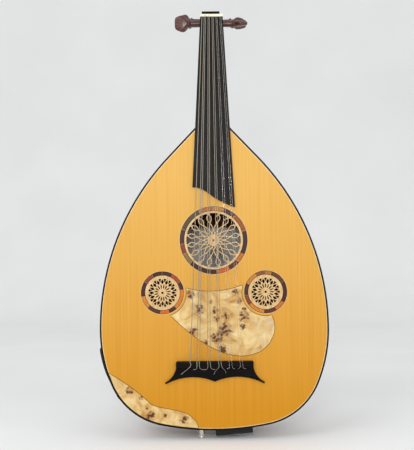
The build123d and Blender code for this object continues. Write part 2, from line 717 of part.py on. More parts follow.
def cheek_plan():
    """Plan of the treble cheek, thinned at the nut so that the outer strings clear it."""
    y0, y1 = -5.0, PEGBOX_LENGTH + 40.0
    thin = NUT_HALF_WIDTH - FLARE_WALL
    return make_face(Polyline(
        (thin, y0), (pegbox_half_width(y0), y0), (pegbox_half_width(y1), y1),
        (cavity_half_width(y1), y1), (cavity_half_width(FLARE_END), FLARE_END),
        (thin, NUT_BACK + 2.0), close=True,
    ).edges())


def upright(sketch):
    """Extrude a plan sketch through the pegbox's whole height."""
    low, high = throat_height - 60.0, nut_top + PEGBOX_LENGTH
    return extrude(Pos(0, 0, low) * sketch, amount=high - low)


def pegbox_round():
    """Prism with a half-oval underside that carries the neck's round into the box."""
    slope = (slope_start + slope_end) / 2
    along = Vector(0, cos(slope), sin(slope))
    plane = Plane(origin=(0, NUT_BACK, NUT_HEIGHT), x_dir=(1, 0, 0), z_dir=along)
    down = 1.0 if plane.y_dir.Z < 0 else -1.0       # which way the plane's own Y points
    drop = down * (THROAT_DEPTH + 4.0)
    rise = -down * 60.0
    half = NUT_HALF_WIDTH + 0.05
    oval = Ellipse(half, abs(drop))
    lower = oval & (Pos(0, drop / 2) * Rectangle(2 * half, abs(drop)))
    upper = Pos(0, rise / 2) * Rectangle(2 * half, abs(rise))
    section = plane * (lower + upper)
    return extrude(section, amount=PEGBOX_LENGTH + 60.0, both=True)


def peg_side(index):
    """-1 for a peg that enters from the bass side, 1 for the treble side."""
    return -1 if index % 2 == 0 else 1


def peg_axis(index):
    """Place of a peg's axis in Y and Z."""
    return pegbox_point(PEG_FIRST + PEG_PITCH * index, PEG_DEPTH)


def peg_cone(index, grow=0.0, start=0.0, overrun=0.0):
    """The tapered stem, from `start` outside its own cheek to the far cheek's face."""
    y, z = peg_axis(index)
    half = pegbox_half_width(y)
    length = 2 * half + start + overrun
    thick = PEG_RADIUS + PEG_TAPER * start + grow
    thin = thick - PEG_TAPER * length
    side = peg_side(index)
    plane = Plane(origin=(side * (half + start), y, z), x_dir=(0, 1, 0), z_dir=(-side, 0, 0))
    return plane * Pos(0, 0, length / 2) * Cone(thick, thin, length)


def pegbox_patch(start, end, high, low):
    """Four-sided patch of the side view, between two distances along and two depths."""
    corners = [pegbox_point(*place) for place in (
        (start, high), (end, high), (end, low), (start, low)
    )]
    return make_face(Polyline(*corners, close=True).edges())


def pegbox():
    """Two cheeks, the back, the end block and the ebony end cap."""
    profile = pegbox_profile()
    turn_disc = Pos(*pegbox_centre) * Circle(TOP_RADIUS + CAVITY_DEPTH)
    floor_sketch = profile - turn_disc
    rounding = pegbox_round()
    solid = extrude(Plane.YZ * profile, amount=NUT_HALF_WIDTH, both=True) & rounding
    bores = [peg_cone(i, PEG_CLEARANCE, 1.0, 1.0) for i in range(PEG_COUNT)]
    cheek = solid & upright(cheek_plan())
    for side, shape in (("treble", cheek), ("bass", mirror(cheek, about=Plane.YZ))):
        for bore in bores:
            shape -= bore
        save("pegbox_" + side + "_cheek", shape)
    core = upright(core_plan())
    floor = extrude(Plane.YZ * floor_sketch, amount=NUT_HALF_WIDTH, both=True)
    save("pegbox_back", floor & core & rounding)
    spare = 5.0
    end_zone = pegbox_patch(
        PEGBOX_LENGTH - END_BLOCK, PEGBOX_LENGTH + spare, -spare, CAVITY_DEPTH + spare
    )
    end_sketch = (profile & turn_disc) & end_zone
    end_block = extrude(Plane.YZ * end_sketch, amount=NUT_HALF_WIDTH, both=True) & core
    save("pegbox_end_block", end_block)
    cap = pegbox_patch(
        PEGBOX_LENGTH, PEGBOX_LENGTH + END_CAP, -END_CAP_RISE, PEGBOX_END_DEPTH
    )
    half = PEGBOX_END_HALF_WIDTH + 2.0
    end_cap = extrude(Plane.YZ * cap, amount=half, both=True)
    save("pegbox_end_cap", fillet(end_cap.edges().filter_by(Axis.X), 1.2))


def pegs():
    """Eleven tapered pegs with a collar and a flat thumb piece."""
    for i in range(PEG_COUNT):
        y, z = peg_axis(i)
        half = pegbox_half_width(y)
        side = peg_side(i)
        stem = peg_cone(i, 0.0, PEG_STEM)
        plane = Plane(
            origin=(side * (half + PEG_STEM), y, z), x_dir=(0, 1, 0), z_dir=(side, 0, 0)
        )
        collar = Pos(0, 0, COLLAR_LENGTH / 2) * Cylinder(COLLAR_RADIUS, COLLAR_LENGTH)
        collar = fillet(collar.edges(), 1.2)
        top = COLLAR_LENGTH + PEG_HEAD_LENGTH
        widest = COLLAR_LENGTH + PEG_HEAD_WIDEST * PEG_HEAD_LENGTH
        outline = FilletPolyline(
            (-COLLAR_RADIUS + 0.6, COLLAR_LENGTH - 1.0),
            (-PEG_HEAD_HALF, widest),
            (-PEG_TIP_WIDTH * PEG_HEAD_HALF, top),
            (PEG_TIP_WIDTH * PEG_HEAD_HALF, top),
            (PEG_HEAD_HALF, widest),
            (COLLAR_RADIUS - 0.6, COLLAR_LENGTH - 1.0),
            close=True,
            radius=(0.5, 6.0, 4.5, 4.5, 6.0, 0.5),
        )
        paddle = extrude(
            Plane.XZ * make_face(outline.edges()), amount=PEG_HEAD_THICKNESS / 2, both=True
        )
        thick, thin = PEG_HEAD_THICKNESS / 2, PEG_TIP_THICKNESS / 2
        root, crown = COLLAR_LENGTH + 3.0, top + 0.5
        taper = make_face(Polyline(
            (-thick, -root), (thick, -root), (thick, root), (thin, crown), (-thin, crown),
            (-thick, root), close=True,
        ).edges())
        paddle &= extrude(Plane.YZ * taper, amount=2 * PEG_HEAD_HALF, both=True)
        head = plane * (collar + paddle)
        save("peg_%02d" % (i + 1), stem + head)


# ---- strings, nut and bridge -----------------------------------------------------------------------
def string_places():
    """Each string's X at the bridge, X at the nut and radius, from bass to treble."""
    at_bridge = [SINGLE_AT_BRIDGE]
    courses = [SINGLE_AT_BRIDGE]
    for pair in range(PAIRS):
        centre = PAIR_AT_BRIDGE + COURSE_PITCH * pair
        at_bridge += [centre - PAIR_GAP / 2, centre + PAIR_GAP / 2]
        courses += [centre, centre]
    middle = (at_bridge[0] + at_bridge[-1]) / 2
    span = at_bridge[-1] - at_bridge[0]
    shrink = (2 * (NUT_HALF_WIDTH - NUT_MARGIN) - NUT_PAIR_GAP / 2) / (span - PAIR_GAP / 2)
    places = []
    last = len(at_bridge) - 1
    for i, (x, course) in enumerate(zip(at_bridge, courses)):
        within = 0.0 if x == course else (x - course) / abs(x - course)
        at_nut = (course - middle) * shrink + within * NUT_PAIR_GAP / 2
        radius = STRING_BASS + (STRING_TREBLE - STRING_BASS) * i / last
        places.append((x, at_nut, radius))
    return places


def peg_of_string(index):
    """Bass strings go to the bass pegs and treble strings to the treble pegs."""
    bass_pegs = (PEG_COUNT + 1) // 2
    return 2 * index if index < bass_pegs else 2 * (PEG_COUNT - 1 - index) + 1


def winding(index):
    """Axis of a string's peg, the winding's X, and the winding's inner radius."""
    x_nut = string_places()[index][1]
    y, z = peg_axis(peg_of_string(index))
    room = cavity_half_width(y) - WINDING_LENGTH / 2 - WINDING_WALL
    x = x_nut * room / (NUT_HALF_WIDTH - NUT_MARGIN)
    inner = PEG_RADIUS + WINDING_GAP
    return x, y, z, inner


string_front = -SOUNDBOARD - FINGERBOARD - STRING_AT_NUT
string_back = -SOUNDBOARD - STRING_AT_BRIDGE


def string_path(index):
    """Bridge hole, bend over the nut, and the tangent to the winding."""
    x_bridge, x_nut, radius = string_places()[index]
    x, y, z, inner = winding(index)
    bend = (string_front, nut_top + STRING_LIFT)
    wrap = inner + radius
    dy, dz = y - bend[0], z - bend[1]
    distance = sqrt(dy * dy + dz * dz)
    heading = atan2(dz, dy) + asin(wrap / distance)
    run = sqrt(distance * distance - wrap * wrap)
    touch = (bend[0] + run * cos(heading), bend[1] + run * sin(heading))
    return (
        (x_bridge, string_back, BRIDGE_FRONT - TIE_DEPTH),
        (x_nut, bend[0], bend[1]),
        (x, touch[0], touch[1]),
    )


def string_tube(index, grow=0.0):
    """Round tube along a string's path."""
    radius = string_places()[index][2] + grow
    points = [Vector(*p) for p in string_path(index)]
    line = FilletPolyline(*points, radius=STRING_BEND)
    start = Plane(origin=points[0], z_dir=points[1] - points[0])
    return sweep(start * Circle(radius), path=line)


def strings():
    """Eleven strings, each with its turns round a peg as a closed sleeve."""
    for i in range(PEG_COUNT):
        radius = string_places()[i][2]
        x, y, z, inner = winding(i)
        plane = Plane(origin=(x, y, z), x_dir=(0, 1, 0), z_dir=(1, 0, 0))
        sleeve = plane * (
            Cylinder(inner + 2 * radius, WINDING_LENGTH) - Cylinder(inner, WINDING_LENGTH)
        )
        x_bridge = string_places()[i][0]
        face = -SOUNDBOARD - BRIDGE_TIE_HEIGHT - LASHING_GAP
        tied = BRIDGE_FRONT - BRIDGE_TIE_WIDTH / 2
        lashing = Pos(x_bridge, face - radius, tied) * Cylinder(radius, LASHING)
        save("string_%02d" % (i + 1), Part() + [(string_tube(i) + sleeve).solids()[0], lashing])


def nut():
    """Bone nut across the end of the neck, slotted for the strings."""
    front = string_front - 0.5
    body = block(
        -NUT_HALF_WIDTH, NUT_HALF_WIDTH, front, NUT_BACK, NUT_HEIGHT, nut_top
    )
    for i in range(PEG_COUNT):
        body -= string_tube(i, SLOT_CLEARANCE)
    save("nut", body.solids()[0])


def string_hole(index):
    """Hole through the tie block on the line of a string."""
    points = [Vector(*p) for p in string_path(index)]
    line = Plane(origin=points[0], z_dir=points[1] - points[0])
    radius = string_places()[index][2] + SLOT_CLEARANCE
    return line * Cylinder(radius, 3 * BRIDGE_TIE_WIDTH)


def bridge():
    """Ebony bridge: a raised tie block on a foot with two swept wings."""
    top = BRIDGE_FRONT
    bottom = top - BRIDGE_DROP
    back = top - BRIDGE_TIE_WIDTH
    front = top + BRIDGE_STEP
    half_block = BRIDGE_BLOCK + BRIDGE_STEP
    tip = (BRIDGE_SPAN, bottom + 2.0)
    heel = (BRIDGE_SPAN - 1.5, bottom)
    point = (0, bottom + 3.6)
    bend = BRIDGE_CORNER
    half = make_face([
        Line((0, front), (half_block - bend, front)),
        ThreePointArc(
            (half_block - bend, front), (half_block - 0.29 * bend, front - 0.29 * bend),
            (half_block, front - bend),
        ),
        Line((half_block, front - bend), (half_block, back)),
        ThreePointArc((half_block, back), (half_block + 6.0, bottom + 13.0), tip),
        Line(tip, heel),
        ThreePointArc(heel, (0.47 * BRIDGE_SPAN, bottom + 11.5), point),
        Line(point, (0, front)),
    ])
    low, high = -SOUNDBOARD - BRIDGE_TIE_HEIGHT, -SOUNDBOARD - BRIDGE_BASE
    foot = plate(half + mirror(half, about=Plane.YZ), high, -SOUNDBOARD)
    tie = block(-BRIDGE_BLOCK, BRIDGE_BLOCK, low, high, back, top)
    tie = fillet(tie.edges().filter_by(Axis.Y).group_by(Axis.Z)[-1], bend - BRIDGE_STEP)
    tie = fillet(tie.edges().filter_by(Axis.X).group_by(Axis.Y)[0], BRIDGE_ROUND)
    for i in range(PEG_COUNT):
        tie -= string_hole(i)
    save("bridge", tie + foot)
    length, width, thick = PICKUP
    middle = top - BRIDGE_TIE_WIDTH / 2
    save("pickup_strip", block(
        -length / 2, length / 2, 0, thick, middle - width / 2, middle + width / 2
    ))


# ---- preamp, battery and jack ---------------------------------------------------------------------
KNOBS = {
    "volume_knob": (VOLUME_AT, VOLUME_RADIUS, VOLUME_LENGTH, 32),
    "treble_knob": (TREBLE_AT, TONE_RADIUS, TONE_LENGTH, 16),
    "bass_knob": (BASS_AT, TONE_RADIUS, TONE_LENGTH, 16),
}


def panel_face(height):
    """Thickness of the panel at a height, between the places of PANEL_RISE."""
    for (z0, t0), (z1, t1) in zip(PANEL_RISE, PANEL_RISE[1:]):
        if height <= z1:
            break
    return t0 + (t1 - t0) * (height - z0) / (z1 - z0)


def panel_skin():
    """Half a turn of the panel's section, with its inner side on the bowl."""
    outer = []
    for height, thick in PANEL_RISE:
        radius, slope = outline_at(min(height, WIDEST_HEIGHT))
        outer.append((radius + thick * cos(slope), height - thick * sin(slope)))
    first, last = outer[0], outer[-1]
    section = make_face([
        Spline(*outer), Line(last, (0.5 * last[0], last[1])),
        Line((0.5 * last[0], last[1]), (0.5 * first[0], first[1])),
        Line((0.5 * first[0], first[1]), first),
    ])
    return turned(section - half_outline())


def knob_plane(at):
    """Plane on the bowl under a knob, facing out."""
    height = PANEL_HEIGHT + at * cos(outline_at(PANEL_HEIGHT)[1])
    return side_plane(height, PANEL_DEPTH)


def preamp():
    """Panel that follows the bowl, the case behind it, and the knobs."""
    frame_sketch = panel_plane * RectangleRounded(PANEL_LENGTH, PANEL_WIDTH, PANEL_CORNER)
    panel = panel_skin() & extrude(frame_sketch, amount=CASE_DEPTH, both=True)
    case = case_prism(0.0) & turned(half_outline())
    hollow = (
        PANEL_LENGTH - 2 * CASE_MARGIN - 2 * CASE_WALL,
        PANEL_WIDTH - 2 * CASE_MARGIN - 2 * CASE_WALL,
    )
    case -= local_box(panel_plane, hollow, -CASE_DEPTH + CASE_WALL, 30.0)
    save("preamp_case", case)
    for node, (at, radius, length, ribs) in KNOBS.items():
        plane = knob_plane(at)
        bore = plane * Cylinder(KNOB_SHAFT + SHAFT_CLEARANCE, 30)
        panel -= bore
        # it clears the panel at the edge that stands off further
        reach_up = plane.origin.Z + radius * cos(outline_at(PANEL_HEIGHT)[1])
        low = panel_face(reach_up) + KNOB_GAP
        knob = Pos(0, 0, low + length / 2) * Cylinder(radius, length)
        knob = fillet(knob.edges().group_by(Axis.Z)[-1], KNOB_EDGE)
        groove = Pos(radius + FLUTE_OUT, 0, low + length / 2) * Cylinder(FLUTE, length + 1)
        for i in range(ribs):
            knob -= Rot(0, 0, 360.0 * i / ribs) * groove
        shaft_length = low + SHAFT_REACH
        shaft = Pos(0, 0, low + 0.5 - shaft_length / 2) * Cylinder(KNOB_SHAFT, shaft_length)
        save(node, plane * (knob + shaft))
    save("preamp_panel", panel.solids()[0])


def battery():
    """Battery box let into the tail, its sliding tray, and the battery."""
    outer = local_box(battery_plane, box_outer, -box_outer[2], 0.0)
    body = outer & turned(half_outline())
    flange_size = (box_outer[0] + 2 * FLANGE_BORDER, box_outer[1] + 2 * FLANGE_BORDER)
    flange = local_box(battery_plane, flange_size, 0.0, FLANGE) - turned(half_outline())
    body += flange + (outer - turned(half_outline()))
    body -= local_box(battery_plane, box_inner, -box_outer[2] + BOX_WALL, FLANGE + 1)
    save("battery_box", body)
    front = FLANGE + TRAY_CLEARANCE
    back = -tray_size[2] + TRAY_WALL
    tray = local_box(battery_plane, tray_size, back, front)
    tray += local_box(battery_plane, flange_size, front, front + TRAY_PLATE)
    play = BATTERY_END_PLAY
    # the pocket is open on both broad sides of the tray
    pocket = (BATTERY[0] + 2 * play, tray_size[1] + 2 * TRAY_WALL)
    tray -= local_box(battery_plane, pocket, -BATTERY[2] - play, play)
    save("battery_tray", tray)
    save("battery", local_box(battery_plane, BATTERY[:2], -BATTERY[2], 0.0))


def jack():
    """Output jack that is also the strap button, turned about its own axis."""
    low = jack_level - BUTTON_LENGTH
    steps = [
        (JACK_BORE, low), (BUTTON_FLANGE, low), (BUTTON_FLANGE, low + BUTTON_RIM),
        (BUTTON_NECK, low + BUTTON_RIM), (BUTTON_NECK, jack_level - WASHER),
        (WASHER_RADIUS, jack_level - WASHER), (WASHER_RADIUS, jack_level),
        (JACK_BARREL, jack_level), (JACK_BARREL, jack_level + JACK_LENGTH),
        (JACK_BORE, jack_level + JACK_LENGTH),
    ]
    profile = make_face(Polyline(*steps, close=True).edges())
    body = revolve(Plane.XZ * profile, axis=Axis.Z, revolution_arc=360)
    save("endpin_jack", Pos(JACK_X, JACK_Y, 0) * body)


def main():
    """Build every piece into parts/."""
    os.makedirs("parts", exist_ok=True)
    bowl()
    blocks_and_braces()
    label()
    soundboard()
    rosettes()
    guards()
    neck()
    fingerboard()
    pegbox()
    pegs()
    strings()
    nut()
    bridge()
    preamp()
    battery()
    jack()


main()
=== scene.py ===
import json
from math import asin, atan2, cos, pi, radians, sin, sqrt

import bmesh
import bpy
import numpy as np
from mathutils import Matrix, Vector


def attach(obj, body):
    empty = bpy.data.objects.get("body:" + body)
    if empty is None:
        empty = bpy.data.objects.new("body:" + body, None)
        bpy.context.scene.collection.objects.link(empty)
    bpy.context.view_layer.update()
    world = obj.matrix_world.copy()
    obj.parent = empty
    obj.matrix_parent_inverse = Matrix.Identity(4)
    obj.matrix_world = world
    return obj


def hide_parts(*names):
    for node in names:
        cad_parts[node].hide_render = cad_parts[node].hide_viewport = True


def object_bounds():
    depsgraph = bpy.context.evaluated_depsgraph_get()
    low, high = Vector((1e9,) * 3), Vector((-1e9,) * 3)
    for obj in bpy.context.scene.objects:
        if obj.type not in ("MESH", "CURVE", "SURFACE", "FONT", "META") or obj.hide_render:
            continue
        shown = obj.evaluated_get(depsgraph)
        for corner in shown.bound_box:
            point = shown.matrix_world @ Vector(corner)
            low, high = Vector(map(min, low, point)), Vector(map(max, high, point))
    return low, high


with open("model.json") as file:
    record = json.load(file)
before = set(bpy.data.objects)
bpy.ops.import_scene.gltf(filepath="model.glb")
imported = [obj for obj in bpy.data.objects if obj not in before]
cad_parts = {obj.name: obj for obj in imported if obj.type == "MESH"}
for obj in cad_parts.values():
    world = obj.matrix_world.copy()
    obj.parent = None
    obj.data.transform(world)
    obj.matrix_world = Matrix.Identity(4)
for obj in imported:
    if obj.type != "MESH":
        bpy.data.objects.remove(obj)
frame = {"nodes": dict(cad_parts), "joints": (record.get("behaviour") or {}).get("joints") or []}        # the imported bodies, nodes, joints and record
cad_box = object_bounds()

# An oud: woods, inlays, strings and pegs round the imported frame.
# Lengths are written in millimetres and turned to metres with MM.
MM = 0.001
nodes = frame["nodes"]
joints = {joint["name"]: joint for joint in frame["joints"]}
BODY = "instrument"

# ---- sizes shared with the solids --------------------------------------------------
SOUNDBOARD = 2.2
MAIN = (0.0, 323.5, 57.8, 49.9)          # x, z, outer and inner radius of the inlaid ring
BASS = (-87.7, 234.8, 36.6, 29.5)
TREBLE = (87.7, 234.8, 36.6, 29.5)
NUT_TOP = 707.0
NUT_HALF = 19.15
NUT_BACK = 3.0
NUT_MARGIN = 3.2
NUT_PAIR_GAP = 2.2
NUT_LIFT = 0.25                          # string's centre above the nut's top at the bend
BRIDGE_FRONT = 118.0
BRIDGE_BACK = 107.0
BRIDGE_TOP = -12.7
STRING_BACK = -10.7                      # Y of the strings at the bridge
STRING_FRONT = -6.4                      # and at the nut
SINGLE_AT_BRIDGE = -41.7
PAIR_AT_BRIDGE = -28.4
COURSE_PITCH = 18.3
PAIR_GAP = 4.1
STRING_BASS = 0.60
STRING_TREBLE = 0.35
PEG_COUNT = 11
PEG_RADIUS = 4.9
PEG_TAPER = 0.030
PEG_STEM = 19.0
PEGBOX_LENGTH = 190.0
PEGBOX_END_HALF = 15.0
CHEEK = 6.5
WINDING_GAP = 0.3
WINDING_LENGTH = 6.0
PEG_TURNS = (84, 8, 60, -20, 96, 15, 40, -32, 75, 4, 62)


# ---- materials: helpers -------------------------------------------------------------
def linear(code):
    """Linear RGBA of an sRGB hex colour."""
    values = [int(code[i:i + 2], 16) / 255 for i in (0, 2, 4)]
    return [v / 12.92 if v <= 0.04045 else ((v + 0.055) / 1.055) ** 2.4 for v in values] + [1]


def add(tree, kind, links=None, stops=None, **settings):
    """Add a shader node with its settings, its linked or fixed inputs and its colour stops."""
    node = tree.nodes.new("ShaderNode" + kind)
    for name, value in settings.items():
        setattr(node, name, value)
    for socket, source in (links or {}).items():
        if isinstance(source, bpy.types.NodeSocket):
            tree.links.new(source, node.inputs[socket])
        else:
            node.inputs[socket].default_value = source
    if stops:
        band = node.color_ramp.elements
        while len(band) < len(stops):
            band.new(1.0)
        for element, (place, code) in zip(band, stops):
            element.position = place
            element.color = linear(code)
    return node.outputs


def surface(name, **sockets):
    """New material: its tree, its shader's inputs, and the object's own coordinates."""
    material = bpy.data.materials.new(name)
    material.use_nodes = True
    tree = material.node_tree
    inputs = tree.nodes["Principled BSDF"].inputs
    for socket, value in sockets.items():
        inputs[socket.replace("_", " ")].default_value = value
    return material, tree, inputs, add(tree, "TexCoord")["Object"]


def relief(tree, inputs, height, distance_mm, strength=0.5):
    """Bump from a height in 0..1 over a real depth."""
    links = {"Height": height, "Distance": distance_mm * MM, "Strength": strength}
    tree.links.new(add(tree, "Bump", links)["Normal"], inputs["Normal"])


def stretched(tree, place, across_mm, along_mm, along="Z", detail=4.0, rough=0.55, warp=0.0):
    """Noise drawn out along one axis, as wood fibres are."""
    scale = [1 / (along_mm * MM) if axis == along else 1 / (across_mm * MM) for axis in "XYZ"]
    drawn = add(tree, "Mapping", {"Vector": place, "Scale": scale})["Vector"]
    links = {"Vector": drawn, "Scale": 1.0, "Detail": detail, "Roughness": rough}
    links["Distortion"] = warp
    return add(tree, "TexNoise", links)["Fac"]


def wood(name, deep, middle, pale, across_mm, along_mm, along="Z", place_from=None, **sockets):
    """Planed and finished timber: broad figure, fine pores, and a shine that follows the pores."""
    material, tree, inputs, place = surface(name, **sockets)
    if place_from:
        place = place_from(tree, place)
    figure = stretched(tree, place, across_mm, along_mm, along, 5.0, 0.6, 0.4)
    pores = stretched(tree, place, across_mm / 6, along_mm / 5, along, 2.0, 0.5)
    both = add(tree, "Math", {0: figure, 1: add(
        tree, "Math", {0: pores, 1: 0.45}, operation="MULTIPLY")[0]}, operation="ADD")[0]
    tone = add(tree, "ValToRGB", {"Fac": add(tree, "MapRange", {
        "Value": both, "From Min": 0.45, "From Max": 1.0})["Result"]},
        stops=[(0.0, deep), (0.5, middle), (1.0, pale)])["Color"]
    tree.links.new(tone, inputs["Base Color"])
    rough = sockets.get("Roughness", 0.4)
    shine = add(tree, "MapRange", {"Value": pores, "From Min": 0.3, "From Max": 0.7,
                                   "To Min": rough * 1.2, "To Max": rough * 0.85})["Result"]
    tree.links.new(shine, inputs["Roughness"])
    relief(tree, inputs, pores, 0.05, 0.35)
    return material


# ---- materials: woods -------------------------------------------------------------------
def spruce():
    """Spruce under amber varnish: quarter-sawn, bookmatched, silky, orange, with painted light that
    makes it paler and more honey-toned towards the top.
    """
    material, tree, inputs, place = surface(
        "spruce_varnished", Roughness=0.45, Specular_IOR_Level=0.15)
    apart = add(tree, "SeparateXYZ", {"Vector": place})
    mirrored = add(tree, "Math", {0: apart["X"]}, operation="ABSOLUTE")[0]
    folded = add(tree, "CombineXYZ", {"X": mirrored, "Z": apart["Z"]})["Vector"]
    # annual lines about 2.4 mm apart, drawn wider than the real 1 to 1.5 mm so they show
    drift = stretched(tree, folded, 26.0, 420.0, "Z", 2.0, 0.4)
    bent = add(tree, "MixRGB", {"Fac": 0.006, "Color1": folded, "Color2": drift},
               blend_type="ADD")["Color"]
    lines = add(tree, "TexWave", {"Vector": bent, "Scale": 131.0, "Distortion": 0.0},
                bands_direction="X", wave_profile="SAW")["Fac"]
    streaks = stretched(tree, folded, 3.2, 300.0, "Z", 4.0, 0.6)
    calm = add(tree, "MapRange", {"Value": streaks, "From Min": 0.2, "From Max": 0.8,
                                  "To Min": 0.36, "To Max": 0.62})["Result"]
    mixed = add(tree, "Math", {0: add(tree, "Math", {0: lines, 1: 0.10}, operation="MULTIPLY")[0],
                               1: calm}, operation="ADD")[0]
    # painted light: a darker ramp low on the soundboard and a paler ramp high up, blended by height
    height = add(tree, "MapRange", {"Value": apart["Z"], "From Min": 0.03, "From Max": 0.43})[0]
    low = add(tree, "ValToRGB", {"Fac": mixed}, stops=[
        (0.30, "ad7010"), (0.52, "bd7f12"), (0.85, "c99126")])["Color"]
    high = add(tree, "ValToRGB", {"Fac": mixed}, stops=[
        (0.30, "be8c38"), (0.52, "cb9c4a"), (0.85, "d8ae62")])["Color"]
    painted_light_tone = add(tree, "MixRGB", {"Fac": height, "Color1": low, "Color2": high})["Color"]
    tree.links.new(painted_light_tone, inputs["Base Color"])
    relief(tree, inputs, mixed, 0.04, 0.3)
    return material


def round_the_bowl(tree, place):
    """Coordinates that run across the ribs, and up the bowl along them."""
    apart = add(tree, "SeparateXYZ", {"Vector": place})
    turn = add(tree, "Math", {0: apart["Y"], 1: apart["X"]}, operation="ARCTAN2")[0]
    rib = add(tree, "Math", {0: add(tree, "Math", {0: turn, 1: 15 / pi},
                                    operation="MULTIPLY")[0]}, operation="FLOOR")[0]
    across = add(tree, "Math", {0: turn, 1: 0.16}, operation="MULTIPLY")[0]
    return add(tree, "CombineXYZ", {"X": across, "Y": rib, "Z": apart["Z"]})["Vector"]


def rib_walnut():
    """Walnut staves under oil varnish: each from its own board, so tone steps at each line."""
    material, tree, inputs, place = surface(
        "walnut_staves", Roughness=0.30, Coat_Weight=0.4, Coat_Roughness=0.12)
    around = round_the_bowl(tree, place)
    figure = stretched(tree, around, 7.0, 140.0, "Z", 5.0, 0.6, 0.8)
    pores = stretched(tree, around, 1.1, 14.0, "Z", 2.0, 0.5)
    board = add(tree, "TexWhiteNoise", {"Vector": add(
        tree, "Mapping", {"Vector": around, "Scale": (0, 1, 0)})["Vector"]})["Value"]
    mixed = add(tree, "Math", {0: add(tree, "Math", {0: board, 1: 0.22}, operation="MULTIPLY")[0],
                               1: figure}, operation="ADD")[0]
    mixed = add(tree, "Math", {0: add(tree, "Math", {0: pores, 1: 0.25}, operation="MULTIPLY")[0],
                               1: mixed}, operation="ADD")[0]
    tone = add(tree, "ValToRGB", {"Fac": add(tree, "MapRange", {
        "Value": mixed, "From Min": 0.45, "From Max": 1.05})["Result"]},
        stops=[(0.0, "3a1c10"), (0.5, "663619"), (1.0, "96592c")])["Color"]
    tree.links.new(tone, inputs["Base Color"])
    relief(tree, inputs, pores, 0.03, 0.25)
    return material


# Where the burl's dark eyes gather: x, z and spread in millimetres.
BURL_EYES = (
    (36, 236, 6), (43, 219, 5), (-26, 206, 9), (-40, 232, 7), (1, 204, 6), (19, 195, 6),
    (3, 190, 6), (50, 193, 9), (48, 176, 5), (18, 171, 12), (-36, 169, 8), (4, 158, 10),
    (14, 138, 8), (-5, 219, 4), (51, 206, 4), (-16, 150, 5),
)


EDGE_EYES = (
    (-146, 69, 7), (-126, 56, 4), (-110, 26, 8), (-116, 37.5, 3), (-86, 27, 4),
    (-53, 19, 8), (-69, 33, 3),
)


def burl(name, eyes):
    """Poplar burl under varnish: cream swirls, dark pin knots in clusters, and a pale grey ripple
    on the right end that is a painted highlight.
    """
    material, tree, inputs, place = surface(
        name, Roughness=0.34, Specular_IOR_Level=0.25, Coat_Weight=0.05)
    swirl = add(tree, "TexNoise", {"Vector": place, "Scale": 34.0, "Detail": 5.0,
                                   "Roughness": 0.55, "Distortion": 1.5})["Fac"]
    ground = add(tree, "ValToRGB", {"Fac": swirl}, stops=[
        (0.28, "9a6f34"), (0.42, "bd9556"), (0.55, "ccae74"), (0.75, "dcc694")])["Color"]
    apart = add(tree, "SeparateXYZ", {"Vector": place})
    flat = add(tree, "CombineXYZ", {"X": apart["X"], "Z": apart["Z"]})["Vector"]
    wobble = add(tree, "TexNoise", {"Vector": flat, "Scale": 160.0, "Detail": 3.0})["Color"]
    bent = add(tree, "MixRGB", {"Fac": 0.006, "Color1": flat, "Color2": wobble},
               blend_type="ADD")["Color"]
    gather = None
    for x, z, spread in eyes:
        away = add(tree, "VectorMath", {0: bent, 1: (x * MM + 0.003, 0.003, z * MM + 0.003)},
                   operation="DISTANCE")["Value"]
        near = add(tree, "MapRange", {"Value": away, "From Min": 0.25 * spread * MM,
                                      "From Max": 1.35 * spread * MM, "To Min": 1.0,
                                      "To Max": 0.0})["Result"]
        gather = near if gather is None else add(
            tree, "Math", {0: gather, 1: near}, operation="MAXIMUM")[0]
    knots = add(tree, "TexVoronoi", {"Vector": bent, "Scale": 205.0, "Randomness": 1.0})
    dot = add(tree, "MapRange", {"Value": knots["Distance"], "From Min": 0.20,
                                 "From Max": 0.78, "To Min": 1.0, "To Max": 0.0})["Result"]
    ring = add(tree, "Math", {0: dot, 1: gather}, operation="MULTIPLY")[0]
    halo = add(tree, "Math", {0: gather, 1: 0.45}, operation="MULTIPLY")[0]
    warm = add(tree, "MixRGB", {"Fac": halo, "Color1": ground, "Color2": linear("8a5226")})["Color"]
    depth = add(tree, "MapRange", {"Value": ring, "From Min": 0.12, "From Max": 0.45,
                                   "To Max": 0.95})["Result"]
    spotted = add(tree, "MixRGB", {"Fac": depth, "Color1": warm,
                                   "Color2": linear("4a200e")})["Color"]
    # painted highlight: a pale grey ripple painted over the right end, fading in from X 45 to 85 mm
    highlight_ripple = add(tree, "TexWave", {"Vector": flat, "Scale": 26.0, "Distortion": 7.0,
                                   "Detail": 3.0, "Detail Scale": 1.6},
                 bands_direction="DIAGONAL")["Fac"]
    highlight_side = add(tree, "MapRange", {"Value": apart["X"], "From Min": 0.045,
                                   "From Max": 0.085, "To Max": 0.40})["Result"]
    painted_highlight_mask = add(tree, "Math", {0: highlight_ripple, 1: highlight_side}, operation="MULTIPLY")[0]
    tone = add(tree, "MixRGB", {"Fac": painted_highlight_mask, "Color1": spotted, "Color2": linear("b3a68c")})
    tree.links.new(tone["Color"], inputs["Base Color"])
    relief(tree, inputs, swirl, 0.05, 0.3)
    return material


def marquetry():
    """Dyed and natural veneer blocks: each block's tone is an attribute, grain is fine."""
    material, tree, inputs, place = surface(
        "veneer_blocks", Roughness=0.38, Specular_IOR_Level=0.2)
    tone = add(tree, "Attribute", attribute_name="veneer")["Color"]
    grain = add(tree, "TexNoise", {"Vector": place, "Scale": 420.0, "Detail": 4.0,
                                   "Roughness": 0.7, "Distortion": 0.8})["Fac"]
    level = add(tree, "MapRange", {"Value": grain, "From Min": 0.3, "From Max": 0.7,
                                   "To Min": 0.66, "To Max": 1.3})["Result"]
    tree.links.new(add(tree, "MixRGB", {"Fac": 1.0, "Color1": tone, "Color2": level},
                       blend_type="MULTIPLY")["Color"], inputs["Base Color"])
    relief(tree, inputs, grain, 0.03, 0.25)
    return material


